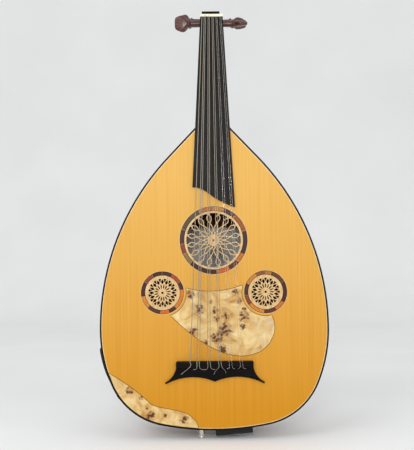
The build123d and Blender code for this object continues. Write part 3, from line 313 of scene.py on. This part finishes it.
# ---- materials: bone, metal, nylon, plastic and paper -------------------------------------
def bone():
    """Bleached and polished bone: ivory, faintly mottled, a little light inside."""
    material, tree, inputs, place = surface(
        "bone_polished", Roughness=0.28, IOR=1.54, Subsurface_Weight=0.15,
        Subsurface_Scale=0.002)
    cloud = add(tree, "TexNoise", {"Vector": place, "Scale": 260.0, "Detail": 4.0})["Fac"]
    tone = add(tree, "ValToRGB", {"Fac": cloud}, stops=[
        (0.35, "dccfae"), (0.55, "efe6cd"), (0.75, "f6f0de")])["Color"]
    tree.links.new(tone, inputs["Base Color"])
    relief(tree, inputs, cloud, 0.02, 0.2)
    return material


def moulded(name, code, rough, grit_mm=0.25):
    """Moulded ABS: one colour with a fine spark-eroded texture."""
    material, tree, inputs, place = surface(name, Roughness=rough, IOR=1.53,
                                            Specular_IOR_Level=0.25)
    grit = add(tree, "TexNoise", {"Vector": place, "Scale": 1 / (grit_mm * MM),
                                  "Detail": 2.0})["Fac"]
    tone = add(tree, "MixRGB", {"Fac": add(tree, "MapRange", {
        "Value": grit, "From Min": 0.3, "From Max": 0.7, "To Max": 0.25})["Result"],
        "Color1": linear(code), "Color2": linear("29292b")})["Color"]
    tree.links.new(tone, inputs["Base Color"])
    relief(tree, inputs, grit, 0.03, 0.4)
    return material


def plated(name, code, rough):
    """Plated and buffed metal: clear highlights with faint turning marks."""
    material, tree, inputs, place = surface(name, Metallic=1.0, Roughness=rough)
    marks = stretched(tree, place, 8.0, 0.12, "Z", 2.0, 0.5)
    tone = add(tree, "ValToRGB", {"Fac": marks}, stops=[(0.3, code), (0.8, "f0ece4")])["Color"]
    tree.links.new(tone, inputs["Base Color"])
    relief(tree, inputs, marks, 0.01, 0.3)
    return material


def wound():
    """Silver-plated copper wound on silk: bright rings across the string."""
    material, tree, inputs, place = surface("silver_wound", Metallic=0.8, Roughness=0.42)
    rings = add(tree, "TexWave", {"Vector": place, "Scale": 700.0}, bands_direction="Z")["Fac"]
    tone = add(tree, "ValToRGB", {"Fac": rings}, stops=[(0.2, "6d665b"), (0.8, "b3aa9a")])
    tree.links.new(tone["Color"], inputs["Base Color"])
    relief(tree, inputs, rings, 0.05, 0.4)
    return material


def nylon():
    """Clear rectified nylon: milky, smooth, with a bright edge."""
    material, tree, inputs, place = surface("nylon_clear", Roughness=0.12, IOR=1.53,
                                            Transmission_Weight=0.85)
    haze = add(tree, "TexNoise", {"Vector": place, "Scale": 300.0})["Fac"]
    tone = add(tree, "ValToRGB", {"Fac": haze}, stops=[(0.3, "e6ddcf"), (0.7, "f7f0e6")])
    tree.links.new(tone["Color"], inputs["Base Color"])
    return material


def paper():
    """Laid paper label: warm white with fibres."""
    material, tree, inputs, place = surface("laid_paper", Roughness=0.85)
    fibre = add(tree, "TexNoise", {"Vector": place, "Scale": 900.0, "Detail": 5.0})["Fac"]
    tone = add(tree, "ValToRGB", {"Fac": fibre}, stops=[(0.3, "efebe0"), (0.7, "fdfbf6")])
    tree.links.new(tone["Color"], inputs["Base Color"])
    relief(tree, inputs, fibre, 0.03, 0.3)
    return material


def studio_card():
    """Matt painted floor and backdrop: pale neutral grey with the faintest mottling."""
    material, tree, inputs, place = surface("studio_paint", Roughness=0.9)
    mottle = add(tree, "TexNoise", {"Vector": place, "Scale": 3.0})["Fac"]
    tone = add(tree, "ValToRGB", {"Fac": mottle}, stops=[(0.3, "e4e4e2"), (0.7, "e9e9e8")])
    tree.links.new(tone["Color"], inputs["Base Color"])
    return material


SPRUCE = spruce()
WALNUT = rib_walnut()
HOLLY = wood("holly_lines", "b08c55", "d2b380", "e4cda0", 2.0, 60.0, Roughness=0.35)
RAW_SPRUCE = wood("spruce_planed", "b08a55", "d0ac72", "e2c493", 1.5, 60.0, Roughness=0.6)
EBONY = wood("ebony_oiled", "0b0a09", "151312", "25211f", 2.2, 90.0, Roughness=0.40,
             Specular_IOR_Level=0.08)
BRIDGE_EBONY = wood("ebony_polished", "060505", "0b0909", "1c1411", 1.8, 50.0, "X",
                    Roughness=0.32, Specular_IOR_Level=0.06)
MAPLE = wood("maple_carved", "9c7844", "bf9b66", "d6ba88", 2.5, 26.0, Roughness=0.42)
MAHOGANY = wood("mahogany_neck", "32140b", "552614", "7c4225", 2.4, 80.0, Roughness=0.32,
                Coat_Weight=0.3)
BOX_WOOD = wood("mahogany_pegbox", "32140b", "552614", "7c4225", 2.4, 80.0, "Y",
                Roughness=0.34, Coat_Weight=0.3)
ROSEWOOD = wood("rosewood_pegs", "1e0a08", "421a12", "7a422e", 1.8, 24.0, "X",
                Roughness=0.36, Coat_Weight=0.12, Coat_Roughness=0.2)
GUARD_BURL = burl("poplar_burl", BURL_EYES)
EDGE_BURL = burl("poplar_burl_edge", EDGE_EYES)
VENEER = marquetry()
BONE = bone()
BLACK_ABS = moulded("abs_black", "101011", 0.5)
KNOB_ABS = moulded("abs_knob", "0c0c0d", 0.36)
NICKEL = plated("nickel_plated", "b9b3a8", 0.22)
CELL = moulded("cell_sleeve", "2b2a2c", 0.35)
SILVER_WOUND = wound()
NYLON = nylon()
PAPER = paper()
STUDIO = studio_card()

FINISHES = {
    "bowl_ribs": WALNUT, "tail_cap": WALNUT, "bowl_rib_lines": HOLLY,
    "neck_block": RAW_SPRUCE, "tail_block": RAW_SPRUCE, "soundboard_braces": RAW_SPRUCE,
    "interior_label": PAPER, "soundboard_bass_half": SPRUCE, "soundboard_treble_half": SPRUCE,
    "edge_binding": EBONY, "rosette_main": MAPLE, "rosette_bass": MAPLE,
    "rosette_treble": MAPLE, "rosette_ring_main": VENEER, "rosette_ring_bass": VENEER,
    "rosette_ring_treble": VENEER, "pickguard": GUARD_BURL, "lower_guard": EDGE_BURL,
    "neck": MAHOGANY, "fingerboard": EBONY, "pegbox_bass_cheek": BOX_WOOD,
    "pegbox_treble_cheek": BOX_WOOD, "pegbox_back": BOX_WOOD, "pegbox_end_block": BOX_WOOD,
    "pegbox_end_cap": EBONY, "nut": BONE, "bridge": BRIDGE_EBONY, "pickup_strip": BLACK_ABS,
    "preamp_case": BLACK_ABS, "preamp_panel": BLACK_ABS, "volume_knob": KNOB_ABS,
    "treble_knob": KNOB_ABS, "bass_knob": KNOB_ABS, "battery_box": BLACK_ABS,
    "battery_tray": BLACK_ABS, "battery": CELL, "endpin_jack": NICKEL,
}
for index in range(PEG_COUNT):
    FINISHES["peg_%02d" % (index + 1)] = ROSEWOOD
    FINISHES["string_%02d" % (index + 1)] = SILVER_WOUND
for node, finish in FINISHES.items():
    mesh = nodes[node].data
    mesh.materials.clear()
    mesh.materials.append(finish)


# ---- new pieces: meshes from grids --------------------------------------------------------
def grid_faces(rows, columns, wrap_rows, wrap_columns, start):
    """Quads between neighbours of a grid of points, round an axis where it wraps."""
    last_row = rows if wrap_rows else rows - 1
    last_column = columns if wrap_columns else columns - 1
    i, j = np.meshgrid(np.arange(last_row), np.arange(last_column), indexing="ij")
    i2, j2 = (i + 1) % rows, (j + 1) % columns
    quads = np.stack([i * columns + j, i * columns + j2, i2 * columns + j2, i2 * columns + j], -1)
    return (quads.reshape(-1, 4) + start).tolist()


def face_outwards(mesh, fill_holes=False):
    """Turn every face of a mesh outwards, first closing its open quads where asked."""
    shape = bmesh.new()
    shape.from_mesh(mesh)
    if fill_holes:
        bmesh.ops.holes_fill(shape, edges=shape.edges, sides=4)
    bmesh.ops.recalc_face_normals(shape, faces=shape.faces)
    shape.to_mesh(mesh)
    shape.free()


def join_frame(name, data, body):
    """Object made of a mesh or curve, riding a body."""
    made = bpy.data.objects.new(name, data)
    bpy.context.scene.collection.objects.link(made)
    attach(made, body)
    return made


def piece(name, grids, material, body=BODY, smooth=True, tones=None, replaces=()):
    """Mesh of several grids.  Each is (points in mm, wrap rows, wrap columns, close ends)."""
    points, faces, colours, start = [], [], [], 0
    for number, (grid, wrap_rows, wrap_columns, close) in enumerate(grids):
        rows, columns = grid.shape[:2]
        points.append(grid.reshape(-1, 3) * MM)
        faces += grid_faces(rows, columns, wrap_rows, wrap_columns, start)
        if close:
            faces.append(list(range(start, start + columns)))
            faces.append(list(range(start + (rows - 1) * columns, start + rows * columns)))
        if tones is not None:
            colours.append(np.tile(tones[number], (rows * columns, 1)))
        start += rows * columns
    mesh = bpy.data.meshes.new(name)
    mesh.from_pydata(np.concatenate(points).tolist(), [], faces)
    face_outwards(mesh)
    if tones is not None:
        layer = mesh.attributes.new("veneer", "FLOAT_COLOR", "POINT")
        layer.data.foreach_set("color", np.concatenate(colours).astype(np.float32).ravel())
    mesh.polygons.foreach_set("use_smooth", np.full(len(mesh.polygons), smooth))
    mesh.materials.append(material)
    made = join_frame(name, mesh, body)
    if replaces:
        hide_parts(*replaces)
    return made


def arc_bar(centre, inner, outer, front, back, start, end, steps):
    """Bar bent round a centre: a rectangle carried from one angle to another, in degrees."""
    turn = np.radians(np.linspace(start, end, steps))
    radius = np.array([outer, outer, inner, inner])
    y = np.array([front, back, back, front])
    x = centre[0] + np.outer(np.sin(turn), radius)
    z = centre[1] + np.outer(np.cos(turn), radius)
    return np.stack([x, np.broadcast_to(y, x.shape), z], -1)


# Each ring's veneer blocks, clockwise from the top: width in degrees and tone.
MAIN_BLOCKS = (
    (18, "9f7029"), (24, "391a12"), (32, "854412"), (42, "371711"), (16, "a75c17"),
    (20, "461d0d"), (22, "ae5218"), (52, "35140d"), (20, "755c2c"), (18, "732f14"),
    (26, "3a1913"), (44, "463713"), (26, "98581a"),
)
BASS_BLOCKS = (
    (29, "371710"), (30, "943712"), (23, "3c1d10"), (57, "b66a1c"), (23, "421f0f"),
    (25, "ba5818"), (39, "482810"), (34, "ba701e"), (42, "3e1911"), (29, "753716"),
    (29, "371910"),
)
TREBLE_BLOCKS = (
    (17, "98611c"), (43, "552f1c"), (61, "401b10"), (28, "ab611c"), (37, "552614"),
    (46, "b66e1f"), (29, "753714"), (34, "402111"), (36, "b26e1e"), (29, "73451a"),
)


SPACER_TONE = "a07a4c"
SPACER_WIDTH = 0.7                        # degrees
RING_INSET = 0.7                          # ebony line either side of the blocks
INLAY_DEPTH = 1.2
HAIR = 0.03                               # how far an inlay stands proud


def veneer_ring(name, place, blocks, node):
    """Ring of veneer blocks, each an arc bar, with a thin pale spacer between neighbours."""
    x, z, outer, inner = place
    front, back = -SOUNDBOARD - HAIR, INLAY_DEPTH - SOUNDBOARD
    total = sum(width for width, _ in blocks)
    spacer = SPACER_WIDTH
    grids, tones, angle = [], [], 0.0
    for width, code in blocks:
        span = width * 360.0 / total
        split = angle + span - spacer
        bars = ((angle, split, code), (split, angle + span, SPACER_TONE))
        for start, end, tone in bars:
            steps = max(2, int((end - start) / 3) + 1)
            bar = arc_bar((x, z), inner + RING_INSET, outer - RING_INSET, front, back,
                          start, end, steps)
            grids.append((bar, False, True, True))
            tones.append(linear(tone))
        angle += span
    return piece(name, grids, VENEER, smooth=False, tones=tones, replaces=(node,))


def circle_line(name, place, inner, outer, material, proud=0.05):
    """Thin inlaid ring, a hair proud of the soundboard."""
    bar = arc_bar(place[:2], inner, outer, -SOUNDBOARD - proud, -SOUNDBOARD + 0.6, 0, 360, 121)
    return piece(name, [(bar[:-1], True, True, False)], material, smooth=False)


for label, place, blocks in (
    ("main", MAIN, MAIN_BLOCKS), ("bass", BASS, BASS_BLOCKS), ("treble", TREBLE, TREBLE_BLOCKS)
):
    outer, inner = place[2:]
    veneer_ring("veneer_ring_" + label, place, blocks, "rosette_ring_" + label)
    circle_line("outer_line_" + label, place, outer - 0.75, outer - 0.02, EBONY)
    circle_line("inner_line_" + label, place, inner + 0.02, inner + 0.75, EBONY)
    circle_line("pale_line_" + label, place, outer, outer + 0.5, HOLLY, 0.02)


def front_edges(node):
    """Outline of a flat node's front face: points, edges, and each point's inward side."""
    mesh = nodes[node].data
    points = np.empty(len(mesh.vertices) * 3)
    mesh.vertices.foreach_get("co", points)
    points = points.reshape(-1, 3) / MM
    mesh.calc_loop_triangles()
    corners = np.empty(len(mesh.loop_triangles) * 3, int)
    mesh.loop_triangles.foreach_get("vertices", corners)
    _, first, same = np.unique(np.round(points, 3), axis=0, return_index=True,
                               return_inverse=True)
    points, corners = points[first], same.ravel()[corners].reshape(-1, 3)
    front = points[:, 1].min()
    flat = np.all(points[corners][:, :, 1] < front + 0.01, axis=1)
    corners = corners[flat]
    edges = np.concatenate([corners[:, [0, 1]], corners[:, [1, 2]], corners[:, [2, 0]]])
    edges = edges[edges[:, 0] != edges[:, 1]]
    keys = np.sort(edges, axis=1)
    _, index, count = np.unique(keys, axis=0, return_index=True, return_counts=True)
    edges = edges[index[count == 1]]
    run = points[edges[:, 1]] - points[edges[:, 0]]
    inward = np.cross(np.array([0.0, -1.0, 0.0]), run)
    inward /= np.maximum(np.linalg.norm(inward, axis=1, keepdims=True), 1e-9)
    side = np.zeros_like(points)
    np.add.at(side, edges[:, 0], inward)
    np.add.at(side, edges[:, 1], inward)
    side /= np.maximum(np.linalg.norm(side, axis=1, keepdims=True), 1e-9)
    return points, edges, side, front


def outline_strip(name, node, near, far, proud, material, keep=None):
    """Flat strip that follows a node's front outline, between two distances inside it."""
    points, edges, side, front = front_edges(node)
    if keep is not None:
        middle = (points[edges[:, 0]] + points[edges[:, 1]]) / 2
        edges = edges[keep(middle)]
    used, again = np.unique(edges, return_inverse=True)
    edges = again.reshape(-1, 2)
    base, side = points[used], side[used]
    rows = []
    for inset, y in ((near, front + 0.3), (near, front - proud), (far, front - proud),
                     (far, front + 0.3)):
        row = base + side * inset
        row[:, 1] = y
        rows.append(row)
    count = len(base)
    ring = np.concatenate(rows) * MM
    faces = []
    for k in range(4):
        low, high = k * count, (k + 1) % 4 * count
        faces.append(np.stack([edges[:, 0] + low, edges[:, 1] + low,
                               edges[:, 1] + high, edges[:, 0] + high], -1))
    mesh = bpy.data.meshes.new(name)
    mesh.from_pydata(ring.tolist(), [], np.concatenate(faces).tolist())
    face_outwards(mesh, fill_holes=True)
    mesh.materials.append(material)
    return join_frame(name, mesh, BODY)


def rim_only(middle):
    """Edges of a soundboard half that run along the rim, not round a hole or the seam."""
    keep = np.abs(middle[:, 0]) > 1.0
    for x, z, outer, inner in (MAIN, BASS, TREBLE):
        keep &= np.hypot(middle[:, 0] - x, middle[:, 2] - z) > outer + 2.0
    return keep


outline_strip("pickguard_line", "pickguard", 0.0, 0.7, 0.04, EBONY)
outline_strip("lower_guard_line", "lower_guard", 0.0, 0.7, 0.04, EBONY)
for half in ("bass", "treble"):
    outline_strip("purfling_" + half, "soundboard_%s_half" % half, 0.0, 1.0, 0.03, HOLLY,
                  rim_only)


# ---- pegs -------------------------------------------------------------------------------------
def pegbox_half(y):
    """Outer half width of the pegbox at a place in Y."""
    return NUT_HALF - (NUT_HALF - PEGBOX_END_HALF) / PEGBOX_LENGTH * (y - NUT_BACK)


# Distance out from the cheek, and the peg's width and thickness there over its stem's.
PEG_STATIONS = (
    (0.0, 1.00, 1.00), (17.6, 1.00, 1.00), (18.6, 1.06, 1.06), (19.2, 1.30, 1.30),
    (20.4, 1.42, 1.42), (21.6, 1.36, 1.36), (22.6, 1.10, 1.10), (23.6, 1.04, 0.96),
    (25.5, 1.45, 0.92), (28.0, 2.10, 0.92), (31.0, 2.52, 0.92), (35.0, 2.50, 0.84),
    (39.0, 2.25, 0.72), (42.5, 1.96, 0.62), (44.2, 1.60, 0.52), (44.9, 1.05, 0.34),
    (45.0, 0.02, 0.02),
)


def peg(index):
    """Turned and carved peg: superellipse sections carried along its axis.

    Outside its cheek the stem meets a bead, a waist and a flat thumb piece; inside the
    pegbox it tapers."""
    joint = joints["peg_%02d_turn" % (index + 1)]
    _, y, z = (v / MM for v in joint["pos_m"])
    side = -1 if index % 2 == 0 else 1
    half = pegbox_half(y)
    place, width, thickness = np.array(PEG_STATIONS).T
    along = np.concatenate([np.linspace(-2 * half, 0, 24)[:-1], np.linspace(0, 18, 16)[:-1],
                            np.linspace(18, 44, 70)[:-1], np.linspace(44, 45, 9)])
    base = PEG_RADIUS + PEG_TAPER * np.minimum(along, PEG_STEM)
    wide = base * np.interp(along, place, width)
    thin = base * np.interp(along, place, thickness)
    squareness = np.interp(along, (22, 28, 45), (2.0, 3.0, 2.6))
    around = np.linspace(0, 2 * pi, 33)[:-1]
    power = 2 / squareness[:, None]
    u = np.sign(np.cos(around)) * np.abs(np.cos(around)) ** power * wide[:, None]
    v = np.sign(np.sin(around)) * np.abs(np.sin(around)) ** power * thin[:, None]
    turn = radians(PEG_TURNS[index])
    across, up = u * cos(turn) - v * sin(turn), u * sin(turn) + v * cos(turn)
    x = np.broadcast_to((side * (half + along))[:, None], u.shape)
    grid = np.stack([x, y + across, z + side * up], -1)
    piece("peg_%02d_carved" % (index + 1), [(grid, False, True, True)], ROSEWOOD,
          "peg_%02d_body" % (index + 1), replaces=("peg_%02d" % (index + 1),))


for index in range(PEG_COUNT):
    peg(index)


# ---- strings -----------------------------------------------------------------------------------
def string_table():
    """Each string's X at the bridge, X at the nut and radius, from bass to treble."""
    at_bridge, courses = [SINGLE_AT_BRIDGE], [SINGLE_AT_BRIDGE]
    for pair in range(5):
        centre = PAIR_AT_BRIDGE + COURSE_PITCH * pair
        at_bridge += [centre - PAIR_GAP / 2, centre + PAIR_GAP / 2]
        courses += [centre, centre]
    middle = (at_bridge[0] + at_bridge[-1]) / 2
    span = at_bridge[-1] - at_bridge[0]
    shrink = (2 * (NUT_HALF - NUT_MARGIN) - NUT_PAIR_GAP / 2) / (span - PAIR_GAP / 2)
    table = []
    for i, (x, course) in enumerate(zip(at_bridge, courses)):
        within = np.sign(x - course)
        radius = STRING_BASS + (STRING_TREBLE - STRING_BASS) * i / (PEG_COUNT - 1)
        table.append((x, (course - middle) * shrink + within * NUT_PAIR_GAP / 2, radius))
    return table


# Tied ends from the run's side of the bridge: X and Z of each, from bass to treble.
KNOTS = (
    ((-42.6, 118.0), (-41.0, 115.8), (-39.9, 113.6), (-41.2, 111.0), (-43.4, 108.6),
     (-47.0, 105.4), (-52.0, 101.0), (-57.4, 96.7)),
    ((-30.2, 117.0), (-30.1, 112.0), (-30.4, 107.6), (-32.4, 105.6), (-34.6, 105.0),
     (-36.8, 105.6)),
    ((-26.3, 117.0), (-26.2, 112.0), (-25.6, 107.6), (-23.6, 105.8), (-20.4, 104.9),
     (-17.9, 104.6), (-15.2, 105.4)),
    ((-12.0, 117.0), (-11.6, 112.0), (-12.0, 107.6), (-13.4, 105.9), (-15.6, 105.0)),
    ((-8.0, 117.0), (-7.4, 112.0), (-6.8, 107.6), (-4.4, 105.8), (-1.8, 105.0), (0.4, 105.3)),
    ((6.3, 117.0), (7.4, 112.0), (6.6, 107.6), (3.4, 105.6), (0.9, 102.0), (-1.9, 96.0)),
    ((10.4, 117.0), (11.2, 112.0), (12.6, 107.6), (15.6, 105.6), (18.2, 102.0), (18.7, 98.2)),
    ((24.6, 117.0), (24.9, 112.0), (24.2, 107.6), (22.4, 105.9), (20.6, 106.2)),
    ((28.7, 117.0), (28.9, 112.0), (29.8, 107.6), (31.6, 106.0), (33.6, 106.4)),
    ((42.9, 117.0), (43.2, 112.0), (42.6, 107.6), (40.8, 105.9), (38.8, 106.2)),
    ((47.0, 117.0), (47.3, 112.0), (48.2, 107.6), (50.0, 106.0), (52.0, 106.4)),
)


# Y of a tied end at these heights: over the foot, down the face, round the upper edge.
TIE_HEIGHTS = (90.0, 103.0, 105.4, 107.2, 116.8, 118.6, 119.2)
FOOT_Y = (-7.3, -8.4, -11.2)
EDGE_Y = (-11.7, STRING_BACK - 0.2)
TIE_RISE = 1.2                            # a tied end starts this far above the bridge
WOUND_STRINGS = 7                         # the others are nylon
COIL_PITCH = 2.15                         # in string radii
MOST_TURNS = 4.0
NUT_BEND = 1.5                            # from the bend's corner to where it starts


def wire(name, splines, radius, material, replaces):
    """String as bevelled curves: each spline is its points in mm and its order."""
    curve = bpy.data.curves.new(name, "CURVE")
    curve.dimensions = "3D"
    curve.bevel_depth = radius * MM
    curve.bevel_resolution = 2
    curve.use_fill_caps = True
    for points, order in splines:
        spline = curve.splines.new("POLY" if order == 2 else "NURBS")
        spline.points.add(len(points) - 1)
        flat = np.concatenate([np.asarray(points) * MM, np.ones((len(points), 1))], 1)
        spline.points.foreach_set("co", flat.ravel())
        if order > 2:
            spline.order_u = order
            spline.use_endpoint_u = True
            spline.resolution_u = 6
    curve.materials.append(material)
    made = join_frame(name, curve, BODY)
    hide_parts(replaces)
    return made


def string(index):
    """One string: a knot on the tie block, the long run, the nut's bend, turns on its peg.

    The turns are a helix about the peg's axis, one string's width apart."""
    x_bridge, x_nut, radius = string_table()[index]
    bass_pegs = (PEG_COUNT + 1) // 2
    number = 2 * index if index < bass_pegs else 2 * (PEG_COUNT - 1 - index) + 1
    _, y, z = (v / MM for v in joints["peg_%02d_turn" % (number + 1)]["pos_m"])
    room = pegbox_half(y) - CHEEK - WINDING_LENGTH / 2 - 0.5
    x_peg = x_nut * room / (NUT_HALF - NUT_MARGIN)
    wrap = PEG_RADIUS + WINDING_GAP + radius
    bend = (STRING_FRONT, NUT_TOP + NUT_LIFT)
    dy, dz = y - bend[0], z - bend[1]
    away = sqrt(dy * dy + dz * dz)
    heading = atan2(dz, dy) + asin(wrap / away)
    start = np.array([x_bridge, STRING_BACK, BRIDGE_BACK])
    corner = np.array([x_nut, *bend])
    run = sqrt(away * away - wrap * wrap)
    touch = np.array([x_peg, bend[0] + run * cos(heading), bend[1] + run * sin(heading)])
    # the bend over the nut is an arc tangent to both runs
    one = (start - corner) / np.linalg.norm(start - corner)
    two = (touch - corner) / np.linalg.norm(touch - corner)
    t = np.linspace(0, 1, 9)[:, None]
    near, far = corner + one * NUT_BEND, corner + two * NUT_BEND
    arc = (1 - t) ** 2 * near + 2 * t * (1 - t) * corner + t ** 2 * far
    # turns round the peg, starting where the string first touches it
    side = np.sign(x_peg) if x_peg else 1.0
    pitch = COIL_PITCH * radius
    turns = min(MOST_TURNS, (WINDING_LENGTH - 2 * radius) / pitch)
    phase = np.linspace(0, 2 * pi * turns, int(24 * turns) + 1)
    first = heading + pi / 2
    coil = np.stack([
        x_peg + side * (phase / (2 * pi) * pitch - turns * pitch / 2),
        y + wrap * np.cos(first - phase),
        z + wrap * np.sin(first - phase),
    ], -1)
    path = np.concatenate([[start], arc, coil])
    # the knot: off the run, down the tie block's face, and its tail on the foot
    face = BRIDGE_TOP - radius - HAIR
    across, height = np.array([(x_bridge, BRIDGE_FRONT + TIE_RISE), *KNOTS[index]]).T
    lying = np.interp(height, TIE_HEIGHTS, (*FOOT_Y, face, face, *EDGE_Y))
    knot = np.stack([across, lying, height], -1)
    metal = index < WOUND_STRINGS
    name = "string_%02d" % (index + 1)
    wire(name + "_tied", [(path, 2), (knot, 4)], radius, SILVER_WOUND if metal else NYLON,
         name)


for index in range(PEG_COUNT):
    string(index)


# ---- camera, light, floor ----------------------------------------------------------------------
VIEW_DISTANCE = 1500.0                    # from the soundboard
VIEW_WIDTH = 704.9                        # width that the view takes in there
VIEW_CENTRE = (-10.9, 349.4)              # what its middle sees, in X and Z
VIEW_ROLL = 0.56
FLOOR = cad_box[0][2] / MM


def camera():
    """Level camera square to the soundboard, a little turned about its own axis."""
    lens = bpy.data.cameras.new("view")
    lens.sensor_fit, lens.sensor_width = "HORIZONTAL", 36.0
    lens.lens = 36.0 * VIEW_DISTANCE / VIEW_WIDTH
    lens.clip_start, lens.clip_end = 0.05, 20.0
    eye = bpy.data.objects.new("view", lens)
    bpy.context.scene.collection.objects.link(eye)
    eye.location = Vector((VIEW_CENTRE[0], -VIEW_DISTANCE, VIEW_CENTRE[1])) * MM
    roll = Matrix.Rotation(radians(VIEW_ROLL), 4, "Y")
    upright = Matrix.Rotation(pi / 2, 4, "X")
    eye.matrix_world = Matrix.Translation(eye.location) @ roll @ upright
    bpy.context.scene.camera = eye


def studio():
    """Floor that curves up into a backdrop, a soft key, a fill, and an even sky."""
    deep, near, rise, bend = 2600.0, -3200.0, 2600.0, 900.0
    turn = np.linspace(0, pi / 2, 17)
    y = np.concatenate([[near], deep - bend + bend * np.sin(turn), [deep]])
    z = np.concatenate([[0.0], bend - bend * np.cos(turn), [rise + bend]]) + FLOOR - 0.2
    x = np.linspace(-4200, 4200, 3)
    grid = np.stack(np.broadcast_arrays(x[:, None], y[None, :], z[None, :]), -1)
    mesh = bpy.data.meshes.new("studio_sweep")
    faces = grid_faces(len(x), len(y), False, False, 0)
    mesh.from_pydata((grid.reshape(-1, 3) * MM).tolist(), [], faces)
    mesh.polygons.foreach_set("use_smooth", np.full(len(mesh.polygons), True))
    mesh.materials.append(STUDIO)
    sweep = bpy.data.objects.new("studio_sweep", mesh)
    bpy.context.scene.collection.objects.link(sweep)
    world = bpy.data.worlds.new("studio_sky")
    world.use_nodes = True
    sky = world.node_tree.nodes["Background"].inputs
    sky["Color"].default_value = (0.96, 0.98, 1.0, 1.0)
    sky["Strength"].default_value = 0.90
    bpy.context.scene.world = world
    for name, place, aim, size, power in (
        ("key", (-1500, -1900, 1900), (0, 0, 350), 1.5, 18.0),
        ("fill", (1700, -1500, 900), (0, 0, 350), 1.8, 8.0),
        ("front", (-60, -1450, 560), (0, 0, 330), 0.25, 7.0),
    ):
        light = bpy.data.lights.new(name, "AREA")
        light.shape = "DISK"
        light.size = size
        light.energy = power
        lamp = bpy.data.objects.new(name, light)
        bpy.context.scene.collection.objects.link(lamp)
        lamp.location = Vector(place) * MM
        aim_line = Vector(aim) * MM - lamp.location
        lamp.rotation_euler = aim_line.to_track_quat("-Z", "Y").to_euler()
    bpy.context.scene.view_settings.view_transform = "Standard"


camera()
studio()
